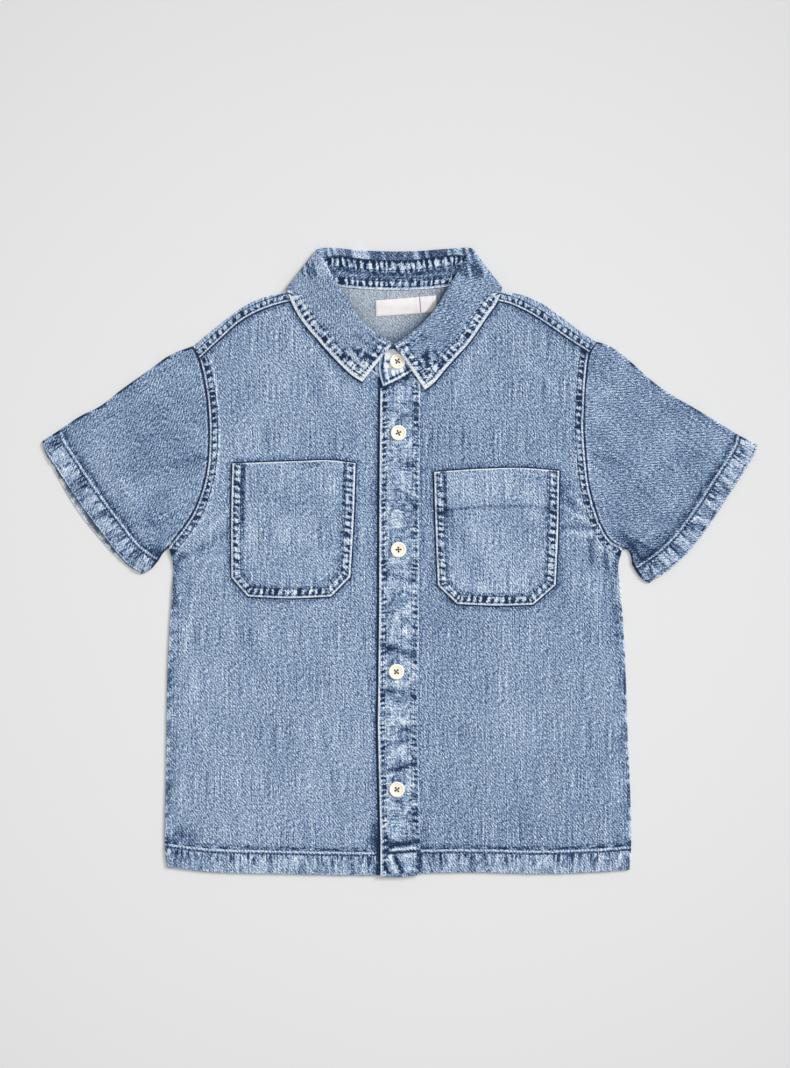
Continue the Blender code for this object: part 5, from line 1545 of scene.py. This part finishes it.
def stand_end(rows, shares, height):
    """Sections of the stand past the fall, flat over the front at a height above its middle."""
    ends = []
    for neck_x, neck_y, top_x, top_y, bulge in smooth_line(rows, 8):
        x = neck_x + shares * (top_x - neck_x) - bulge * np.sin(np.pi * shares)
        y = neck_y + SEAM_GAP + shares * (top_y - neck_y - SEAM_GAP)
        ends.append(np.column_stack([x, y, front_height(x, y) + height]))
    return np.array(ends)


def grid_distance(grid, axis, reverse=False):
    """How far along a grid's rows or columns each point lies, from the first or the last one."""
    steps = np.linalg.norm(np.diff(grid, axis=axis), axis=-1)
    zero = np.zeros_like(np.take(steps, [0], axis=axis))
    reach = np.concatenate([zero, np.cumsum(steps, axis=axis)], axis=axis)
    return np.take(reach, [-1], axis=axis) - reach if reverse else reach


def collar_frame(sections):
    """The neck seam, roll and free edge of each section, and the roll's directions.

    `outward` runs from the roll to the free edge. `across` is square to it and points to the stand.
    """
    neck_z, edge_z = stand_base(sections)
    neck = np.column_stack([sections[:, :2], neck_z])
    roll, edge = sections[:, 2:5], np.column_stack([sections[:, 5:7], edge_z])
    outward = unit(edge - roll)
    roll = roll + outward * LEAF_WALL / 2
    level = unit(np.column_stack([-outward[:, 1], outward[:, 0], 0 * neck_z]))
    inside = np.sign(((neck - roll) * level).sum(-1, keepdims=True) * (np.abs(sections[:, 11:12]) < 89))
    level = level * np.where(inside == 0, 1, inside)
    turn = np.radians(sections[:, 11:12])
    square = np.cross(outward, level)
    across = np.cos(turn) * level + np.sin(turn) * square * np.sign(square[:, 2:])
    return neck, roll, edge, outward, across, np.cos(turn)


collar_table = collar_sections()
print("sections of the collar:", len(collar_table))

# %% [markdown]
# ## Collar: the stand
#
# The stand leans out as it rises. Past the fall it lies flat on the front: its left end is rounded
# and laps over the head of the placket, its right end goes under it.

# %% Collar: the stand
STAND_END = 30


def stand_surface(sections, neck, roll, corner):
    """Middle surface of the stand, from under the right front's edge round to the placket's head.

    Also the part of it round the neck, without its two ends.
    """
    reach = np.linalg.norm(roll[:, :2] - neck[:, :2], axis=1)
    top = neck + (1 - sections[:, 8] / reach)[:, None] * (roll - neck)
    top[:, 2] = neck[:, 2] + sections[:, 9]
    run = np.gradient(neck[:, :2], axis=0)
    into_neck = unit(np.column_stack([run[:, 1], -run[:, 0], 0 * run[:, 0]]))
    into_neck *= np.where(sections[:, 10:11] > 0.5, 1, -1)
    shares = graded(STAND_RUN, start=1.5, end=1.5, coarse=1.1)
    stand = [neck + (SEAM_GAP + CORNER_GAP * corner) * into_neck]
    for part in shares[1:]:
        point = neck + part * (top - neck)
        point[:, 2] = neck[:, 2] + (top[:, 2] - neck[:, 2]) * part**2
        stand.append(point)
    stand = np.stack(stand, 1)
    under = stand_end(STAND_UNDERLAP, shares, UNDERLAP_Z)
    over = stand_end(STAND_OVERLAP, shares, OVERLAP_Z)
    return np.concatenate([under[::-1], stand, over]), stand, top


def collar_stand(grid):
    """The stand's wall. Its seams are the neck seam, which turns up round its rounded end, and its top."""
    from_foot, from_top = grid_distance(grid, 1), grid_distance(grid, 1, True)
    along_neck = grid_distance(grid, 0)[:, grid.shape[1] // 2, None] + 0 * from_foot
    at_end = np.arange(len(grid))[:, None] > len(grid) - STAND_END
    end_edge = np.vstack([grid[-STAND_END:, 0, :2], grid[-1, 1:, :2]])
    x, y = grid[..., 0], grid[..., 1]
    end_run, end_off = seam_frame(end_edge, x, y)
    foot = np.where(at_end, np.minimum(end_off, 5.0), from_foot)
    run = np.where(at_end, end_run, along_neck)
    top = np.where(at_end, FAR, from_top)
    count = rungs(along_neck, top, 81, 4.6, 0.1)
    low_count = np.where(at_end, 500.0, rungs(run, foot, 82, 4.6, 0.1))
    puckers = 0.14 * roping(count, along_neck, top, 84) * ease((8 - top) / 3) * ease(top / 2)
    # Painted shadow: a near-black line along the stand's top, where the fall rolls over it.
    fade = 0.08 * cloud(along_neck, top, 6, 6, 83) - 0.12 * ~at_end - 0.65 * ease((1.3 - top) / 0.6)
    fade += 0.35 * bell(top, 1.9, 0.35) * (0.6 + cloud(along_neck, top, 1.4, 3, 87))
    dashes = 0.8 + 0.5 * cloud(run, foot, 1.3, 4, 85)
    mottle = np.tanh(3 * (cloud(x, y, 2.6, 2.6, 86) + 0.2)) * ease((foot - 3) / 1.5)
    fade += at_end * (0.3 * mottle - 0.12 * ease(foot / 2) - 0.95 * dashes * bell(foot, 2.6, 0.8))
    part = sheet_patch(grid, STAND_WALL / 2 + puckers, STAND_WALL / 2 - 0.1, (run, foot, low_count),
                       (along_neck, top, count), fade, (top, along_neck))
    cloth("collar_stand", [flipped(part)], (STAND_LOOK, STAND_LOOK))


# %% [markdown]
# ## Collar: the fall
#
# The fall starts at the top of the stand, makes half a turn round the roll and runs on as a flat leaf
# to its free edge. Its thick edges wear pale, and its points are mottled where many layers meet.

# %% Collar: the fall
ROLL_STEPS, LEAF_START = 13, 17


def fall_surface(stand, top, roll, edge, outward, across, corner):
    """Middle surface of the fall: from the stand's top to the roll, half a turn, then the leaf."""
    start = roll + ROLL_RADIUS * (outward + across)
    leave, arrive = unit(stand[:, -1] - stand[:, -3]), unit(start - top)
    bend = np.linalg.norm(np.cross(leave, arrive), axis=1, keepdims=True)
    first = top + (SEAM_GAP + LEAF_WALL / 2 * bend + ROLL_CORNER_GAP * corner) * arrive
    fall = [first + part * (start - first) for part in np.linspace(0, 1, 5)[:-1]]
    for angle in np.radians(np.linspace(90, -90, ROLL_STEPS)):
        fall.append(roll + ROLL_RADIUS * (outward * (1 - np.cos(angle)) + across * np.sin(angle)))
    last = fall[-1]
    fall += [last + part * (edge - last) for part in graded(LEAF_RUN, end=10, fine=0.9, coarse=1.3)[1:]]
    return np.stack(fall, 1)


def tip_fade(x, y, near_edge, from_tip, calm):
    """The collar's points: paler, mottled with dark blots, and with a dark row along their edges."""
    blot = ease((cloud(x, y, 2.8, 2.6, 96) + 0.4 * cloud(x, y, 1.6, 1.6, 97)) * 4)
    fade = ease((30 - from_tip) / 8) * (0.12 - 0.72 * blot * ease((near_edge - 2.6) / 1.2))
    fade -= 0.6 * calm * bell(near_edge, 3.4, 0.9) * (0.8 + 0.6 * cloud(x, y, 1.4, 1.4, 98))
    return fade + 0.2 * ease((7 - from_tip) / 3), blot


def collar_fall(grid, sections):
    """The fall's wall. Its seams are the long free edge and the short ends at its two points."""
    x, y = grid[..., 0], grid[..., 1]
    column = np.arange(grid.shape[1])[None]
    in_front = sections[:, 10] > 0.9
    edges = [grid[in_front & (sections[:, 0] * way > 0), -1] for way in (-1, 1)]
    run, edge_away = on_own_side([seam_frame(line, x, y) for line in edges], x)
    on_leaf = grid_distance(grid, 1, True) < 20
    edge_away = np.where(on_leaf, edge_away + 12 * ease((y - FALL_FRONT_Y) / 9), FAR)
    end_run, end_away = on_own_side([seam_frame(grid[end, LEAF_START:], x, y) for end in (0, -1)], x)
    end_away = np.where(column > LEAF_START - 2, end_away, FAR)
    count, end_count = rungs(run, edge_away, 91, 4.8, 0.0), rungs(end_run, end_away, 92, 4.8)
    rope = np.where(edge_away < end_away, roping(count, run, edge_away, 94),
                    roping(end_count, end_run, end_away, 95))
    near_edge, from_tip = np.minimum(edge_away, end_away), np.hypot(edge_away, end_away)
    band = ease((8 - near_edge) / 2) * ease(near_edge - 1)
    curl = rounded(edge_away, 0.5) + rounded(end_away, 0.5)
    calm = ease((19 - from_tip) / 6)
    count, end_count = (turns + calm * (np.round(turns) - turns) for turns in (count, end_count))

    fade, blot = tip_fade(x, y, near_edge, from_tip, calm)
    fade += 0.05 * cloud(x, y, 9, 9, 93) + 0.12 * ease((14 - end_away) / 8) * ease((30 - edge_away) / 14)
    fade -= 0.06 * ease(x / 20)
    behind = ease((y - 204) / 6) * (column < 30)
    fade += behind * (0.3 * np.tanh(3 * cloud(x + y / 4, y, 2.3, 14, 99)) - 0.08)
    off_roll = column - LEAF_START
    fade -= 0.38 * blot * ease((8 - off_roll) / 5) * (off_roll > 0) * ease((168 - y) / 6)
    along_fall = grid_distance(grid, 0)[:, 25, None] + 0 * x
    part = sheet_patch(grid, LEAF_WALL / 2 + 0.22 * rope * band - curl, LEAF_WALL / 2 - 0.1 - curl,
                       (run, edge_away, count), (end_run, end_away, end_count), fade,
                       (grid_distance(grid, 1), along_fall))
    cloth("collar_fall", [flipped(part)], (COLLAR_LOOK, COLLAR_LOOK))


def collar():
    """The stand, and the fall that rolls over it. Gives the fall's free edge."""
    neck, roll, edge, outward, across, corner = collar_frame(collar_table)
    whole, stand, top = stand_surface(collar_table, neck, roll, corner)
    collar_stand(whole)
    fall = fall_surface(stand, top, roll, edge, outward, across, corner)
    collar_fall(fall, collar_table)
    return fall[:, -1, :2]


fall_edge = collar()

# %% [markdown]
# ## Labels
#
# The neck label is a woven tape, folded under at both ends and sewn flat inside the back. A small tab
# sits beside it. Both are left bare. Fine ribs run across the tape, and it lifts a little at its ends.

# %% Labels
def label_material(name, colour, shade):
    """Satin tape: fine ribs along the label, slow changes of tone, a greyer edge."""
    material, tree, shader = new_material(name, {"Roughness": 0.6, "Sheen Weight": 0.2})
    grain = mark(tree, "grain")
    rib = grain.uneven(6.0, 0.35)
    share = rib * 0.4 + 0.98 + grain.uneven(7.0, 5.0, 2.0) * 0.5 + mark(tree, "fade", "Fac")
    plug(shader["Base Color"], blend(tree, share, shade, colour))
    plug(shader["Normal"], relief(tree, rib, 0.5, 0.2 * MM))
    return material


TAPE = label_material("label tape", linear(246, 241, 241), linear(176, 172, 172))


def label(name, seed, shadow=0.0):
    """A bare label: a thin wall over the back, thicker at its turned-in ends."""
    a, b, c, d = np.array(LABELS[name], float)
    columns, rows = np.linspace(0, 1, 40), np.linspace(0, 1, 20)
    low, high = (along(np.array(line), columns) for line in ((a, b), (d, c)))
    start, end = (along(np.array(line), rows) for line in ((a, d), (b, c)))
    grid = raised(patch(low, high, start, end, columns, rows), back_height)
    across, up = np.meshgrid(columns * np.linalg.norm(b - a), rows * np.linalg.norm(d - a))
    from_end = np.minimum(across, across.max() - across)
    lip = np.minimum(from_end, np.minimum(up, up.max() - up))
    above = RESTING + 0.45 + 0.2 * ease((3 - from_end) / 0.8) + 0.12 * cloud(across, up, 9, 7, seed)
    corner = across / across.max() + 0.9 * (1 - up / up.max())
    fade = -0.35 * ease(1 - lip / 0.5) + shadow * ease((corner - 1.05) / 0.2) - 0.1 * bell(from_end, 3, 0.3)
    part = sheet_patch(grid, above - 0.3 * ease(1 - lip / 0.4), -RESTING, fade=fade, grain=(across, up))
    cloth(name, [part], (TAPE, TAPE), upright=True)


label("neck_label", 111)
label("size_label", 112, -0.9)

# %% [markdown]
# ## Buttons
#
# Shirt buttons are turned from resin: a rounded rim round a dished face with four holes. Dark thread
# crosses from hole to hole. One button is turned on a lathe profile and drilled, then copied with a
# turn of its own to each place, because no two are sewn on at the same angle.

# %% Buttons
BUTTON_RADIUS, BUTTON_THICK = 5.7, 1.55
HOLE_RADIUS, HOLE_OFFSET = 0.72, 1.12
FACE_SHARE = 0.7
BUTTON_PROFILE = [(0.7, 0), (0.88, 0.06), (0.97, 0.25), (1, 0.45), (0.99, 0.7), (0.95, 0.9), (0.89, 1),
                  (0.82, 0.98), (0.76, 0.88), (0.7, 0.78), (0.6, 0.73), (0.4, 0.7), (0.15, 0.69)]
BUTTON_TURNS = [12, -20, 48, 5, -8]
ROUND = 56


def button_material():
    """Cream resin with faint clouds, painted paler at the rim as a highlight."""
    finish = {"Roughness": 0.38, "Coat Weight": 0.25, "Coat Roughness": 0.2}
    material, tree, shader = new_material("button resin", finish)
    # The rim is painted paler: a painted highlight on its rounded top.
    share = mark(tree, "rim", "Fac").step(0.55, 0.95) + (speckle(tree, 320.0) - 0.5) * 0.7
    plug(shader["Base Color"], blend(tree, share, linear(252, 240, 216), linear(255, 251, 241)))
    return material


def circle(steps):
    """Cosines and sines of even steps round a circle."""
    angle = np.linspace(0, 2 * np.pi, steps, endpoint=False)
    return np.cos(angle), np.sin(angle)


def drilled_button():
    """A turned button with four holes, at the origin: its points in millimetres and its faces."""
    cos, sin = circle(ROUND)
    rings = [np.column_stack([share * BUTTON_RADIUS * cos, share * BUTTON_RADIUS * sin,
                              np.full(ROUND, height * BUTTON_THICK)]) for share, height in BUTTON_PROFILE]
    index = np.arange(len(rings) * ROUND).reshape(-1, ROUND)
    after = np.roll(index, -1, axis=1)
    walls = np.stack([index[:-1], after[:-1], after[1:], index[1:]], -1).reshape(-1, 4).tolist()
    faces = [index[0, ::-1].tolist(), *walls, index[-1].tolist()]
    blank = mesh_piece("button blank", np.vstack(rings), faces, ())
    drills = []
    for right, up in ((1, 1), (-1, 1), (-1, -1), (1, -1)):
        at = np.array([right * HOLE_OFFSET, up * HOLE_OFFSET, BUTTON_THICK / 2]) * MM
        bpy.ops.mesh.primitive_cylinder_add(vertices=20, radius=HOLE_RADIUS * MM,
                                            depth=2 * BUTTON_THICK * MM, location=at)
        drills.append(bpy.context.object)
        blank.modifiers.new("hole", "BOOLEAN").object = drills[-1]
    bpy.context.view_layer.update()
    turned = blank.evaluated_get(bpy.context.evaluated_depsgraph_get()).to_mesh()
    points = np.array([point.co for point in turned.vertices]) / MM
    faces = [list(face.vertices) for face in turned.polygons]
    for item in (*drills, blank):
        bpy.data.objects.remove(item, do_unlink=True)
    return points, faces


BUTTON_POINTS, BUTTON_FACES = drilled_button()
print("points of a button:", len(BUTTON_POINTS))

# %% [markdown]
# ## Thread crosses
#
# A strand of thread goes down one hole and up the opposite one. It is a tube round a smooth path,
# thicker in the holes, and the second strand lies a little higher than the first.

# %% Thread crosses
STRAND_RADIUS, STRAND_RISE, SECOND_STRAND_LIFT = 0.3, 0.42, 0.12


def around(run, up, sides):
    """Rings of unit arrows square to each direction of `run`."""
    side = unit(np.cross(run, up))
    cos, sin = circle(sides)
    return side[:, None] * cos[:, None] + np.cross(side, run)[:, None] * sin[:, None]


def tube(path, radii, sides=8):
    """A closed round tube through the points of a path: its points and faces."""
    arrows = around(unit(np.gradient(path, axis=0)), (0.31, 0.17, 1.0), sides)
    rings = path[:, None] + radii[:, None, None] * arrows
    index = np.arange(len(path) * sides).reshape(-1, sides)
    after = np.roll(index, -1, axis=1)
    faces = np.stack([index[:-1], index[1:], after[1:], after[:-1]], -1).reshape(-1, 4).tolist()
    return rings.reshape(-1, 3), [index[0].tolist(), *faces, index[-1, ::-1].tolist()]


def turned_by(points, degrees):
    """Points turned about the upright axis."""
    angle = np.radians(degrees)
    turn = np.array([[np.cos(angle), -np.sin(angle), 0], [np.sin(angle), np.cos(angle), 0], [0, 0, 1]])
    return points @ turn.T


def thread_cross():
    """The two strands that cross from hole to hole over a button's face: their points and faces."""
    points, faces = [], []
    face_z = FACE_SHARE * BUTTON_THICK
    half = [(-HOLE_OFFSET, 0.1), (-HOLE_OFFSET, face_z), (-0.5, face_z + STRAND_RISE)]
    for way in (1, -1):
        strand = half + [(-x, z) for x, z in half[::-1]]
        path = smooth_line([(x, x * way, z) for x, z in strand], 5)
        radii = STRAND_RADIUS * (1 + (path[:, 2] < face_z))
        more, walls = tube(path + (0, 0, SECOND_STRAND_LIFT * (way > 0)), radii)
        faces += [[corner + sum(map(len, points)) for corner in face] for face in walls]
        points.append(more)
    return np.vstack(points), faces


def sew_buttons():
    """The five buttons and the thread crosses that hold them."""
    resin, thread = button_material(), plain_material("dark sewing thread", linear(52, 60, 84), 0.8)
    strands, strand_faces = thread_cross()
    for number, ((x, y), degrees) in enumerate(zip(BUTTONS, BUTTON_TURNS), 1):
        middle = front_height(np.array([x]), np.array([y]))[0]
        layers = OVERLAP_Z + STAND_WALL / 2 if number == 1 else RESTING + PLACKET_WALL
        foot = np.array([x, y, middle + layers + SEAM_GAP])
        item = mesh_piece(f"button_{number}_resin", turned_by(BUTTON_POINTS, degrees) + foot, BUTTON_FACES,
                          (resin,), sharp=40)
        keep(item, "rim", np.linalg.norm(BUTTON_POINTS[:, :2], axis=1, keepdims=True) / BUTTON_RADIUS)
        finish_piece(item, [f"button_{number}"])
        cross = mesh_piece(f"button_{number}_thread", turned_by(strands, degrees) + foot, strand_faces,
                           (thread,))
        finish_piece(cross)
        print(f"{item.name}: {middle + layers:.1f} mm up")


sew_buttons()

# %% [markdown]
# ## Stitches
#
# Every seam is held by rows of short stitches that sink a little into the cloth at both ends. A row
# is a seam line moved sideways. Each stitch is a small spindle, laid on the cloth below it.

# %% Stitches
INDIGO_THREAD = plain_material("indigo thread", linear(58, 76, 112), 0.85)
PALE_THREAD = plain_material("pale thread", linear(206, 214, 224), 0.85)
STITCH, STITCH_GAP, STITCH_RADIUS, STITCH_SINK, STITCH_SIDES = 2.0, 0.8, 0.23, 0.25, 5
STITCH_LIFT, STITCH_TAPER, STITCH_CLIMB = (0.02, 0.1, 0.02), np.array([0.85, 1, 0.85]), 0.7


def inset(line, off, toward):
    """A line moved sideways to the side where the point `toward` lies, without the loops at corners."""
    line = along(line, np.linspace(0, 1, max(3, round(lengths(line)[-1] / 1.5))))
    moved = line + off * into(line, np.asarray(toward, float))
    return moved[distance_to(line, *moved.T) > 0.97 * abs(off)]


def settle(item, plan):
    """Heights of the top of a piece under points of a plan, in millimetres. NaN where there is none."""
    tree = BVHTree.FromObject(item, bpy.context.evaluated_depsgraph_get())
    hits = [tree.ray_cast((x, y, 0.05), (0, 0, -1))[0] for x, y in plan * MM]
    return np.array([np.nan if hit is None else hit.z / MM for hit in hits])


def spindle_faces(sides):
    """The faces of a stitch: a point, three rings of `sides` corners, and a point."""
    faces = []
    for corner in range(1, sides + 1):
        after = corner % sides + 1
        faces.append([0, after, corner])
        for ring_start in (0, sides):
            low, high = ring_start + corner, ring_start + after
            faces.append([low, high, high + sides, low + sides])
        faces.append([2 * sides + corner, 2 * sides + after, 3 * sides + 1])
    return faces


def stitches(name, below, rows, material=INDIGO_THREAD):
    """Rows of spindle-shaped stitches on top of a piece. None is laid where the cloth is too steep."""
    jitter = np.random.default_rng(len(name) * 7 + len(rows))
    spots = []
    for row in rows:
        length = lengths(row)[-1]
        count = int(length / (STITCH + STITCH_GAP))
        middle = (np.arange(count) + 0.5) * (STITCH + STITCH_GAP) + jitter.uniform(-0.15, 0.15, count)
        reach = STITCH / 2 * jitter.uniform(0.8, 1.1, count)
        spots.append(np.stack([along(row, (middle + part * reach) / length)
                               for part in (-1, -0.5, 0, 0.5, 1)], 1))
    spots = np.concatenate(spots)
    heights = settle(pieces[below], spots[:, 1:4].reshape(-1, 2)).reshape(-1, 3)
    kept = ~np.isnan(heights).any(1) & (np.ptp(heights, axis=1) < STITCH_CLIMB)
    spots, heights = spots[kept], heights[kept]
    ends = heights[:, [0, 2]] - STITCH_SINK
    heights = np.column_stack([ends[:, 0], heights + STITCH_LIFT, ends[:, 1]])
    line = np.dstack([spots, heights])
    arrows = around(unit(line[:, 4] - line[:, 0]), (0, 0, 1), STITCH_SIDES)
    rings = line[:, 1:4, None] + STITCH_RADIUS * STITCH_TAPER[:, None, None] * arrows[:, None]
    points = np.concatenate([line[:, :1], rings.reshape(len(line), -1, 3), line[:, 4:]], axis=1)
    spindle, size = spindle_faces(STITCH_SIDES), points.shape[1]
    faces = [[corner + size * number for corner in face] for number in range(len(points)) for face in spindle]
    item = mesh_piece(name, points.reshape(-1, 3), faces, (material,), sharp=80)
    print(f"{name}: {len(points)} stitches")
    finish_piece(item)


# %% [markdown]
# ## Rows of stitches
#
# A felled seam and a pocket have two rows, a hem and a cuff have one. The collar has two rows
# along its free edge, and the placket three, which sway with it as it lies.

# %% Rows of stitches
COLLAR_ROWS, SHOULDER_ROWS = (3.3, 8.2), (1.8, 5.8)
HEM_ROW_END = 164


def swayed(x, low, high):
    """A line up the placket at a distance `x` from its middle."""
    y = np.linspace(low, high, 200)
    return np.column_stack([x + np.interp(y, *PLACKET_SWAY.T), y])


def sew_side(side, way):
    """The rows of one side, whose x has the sign of `way`: front, shoulder, pocket, cuff and collar."""
    hem = HEM[(HEM[:, 0] * way > PLACKET_HALF) & (np.abs(HEM[:, 0]) < HEM_ROW_END)]
    rows = [inset(ARMHOLE[side], off, (way * 80, 60)) for off in FELL_ROWS]
    rows.append(hem + (0, HEM_DEPTH - HEM_ROW))
    stitches(f"front_{side}_stitches", f"front_{side}_cloth", rows)
    rows = [inset(SHOULDER_SEAM[side], off, (way * 110, 300)) for off in SHOULDER_ROWS]
    stitches(f"shoulder_{side}_stitches", "back_cloth", rows)
    rows = [inset(pocket_edge(side), off, (way * 75, 20)) for off in POCKET_ROWS]
    stitches(f"pocket_{side}_stitches", f"pocket_{side}_cloth", rows)
    cuff = inset(CUFF[side], CUFF_DEPTH - HEM_ROW, (way * 200, 70))
    stitches(f"sleeve_{side}_stitches", f"sleeve_{side}_cloth", [cuff[2:-2]])
    leaf = fall_edge[(fall_edge[:, 1] < FALL_FRONT_Y) & (fall_edge[:, 0] * way > 0)]
    rows = [inset(leaf, off, (0, 190)) for off in COLLAR_ROWS]
    stitches(f"collar_{side}_stitches", "collar_fall_cloth", rows)


sew_side("right", -1)
sew_side("left", 1)
foot_row = smooth_line([(-13, -226.9 + HEM_DEPTH), (0, -214), (13, -208)])
stitches("placket_stitches", "placket_cloth",
         [swayed(FREE_EDGE_ROW - PLACKET_HALF, -226, 125),
          *[swayed(PLACKET_HALF - off, -225, 134) for off in PLACKET_ROWS], foot_row])
stitches("neck_stitches", "collar_stand_cloth", [NECK_BACK[4:-4] + (0, 1.6)],
         PALE_THREAD)

# %% [markdown]
# ## Sizes
#
# Each piece of cloth says what it was cut from.

# %% Sizes
# Width and length of each cut in metres, its area in square metres, and what it lies on. A sleeve
# is counted all round.
CUTS = {
    "back": (0.345, 0.46, 0.133, "table"),
    "front_right": (0.178, 0.435, 0.066, "back_cloth"),
    "front_left": (0.16, 0.435, 0.0585, "back_cloth"),
    "sleeve_right": (0.336, 0.115, 0.0252, "table"),
    "sleeve_left": (0.336, 0.12, 0.027, "table"),
    "placket": (0.0292, 0.371, 0.0108, "front_left_cloth"),
    "pocket_right": (0.089, 0.098, 0.0086, "front_right_cloth"),
    "pocket_left": (0.089, 0.098, 0.0086, "front_left_cloth"),
    "collar_stand": (0.32, 0.022, 0.007, "back_cloth"),
    "collar_fall": (0.39, 0.042, 0.013, "collar_stand_cloth"),
    "neck_label": (0.0325, 0.0118, 0.00038, "back_cloth"),
    "size_label": (0.0118, 0.012, 0.00014, "back_cloth"),
}
for name, (width, length, area, below) in CUTS.items():
    print(f"{name}: cut {width * 1e3:.0f} by {length * 1e3:.0f} mm")
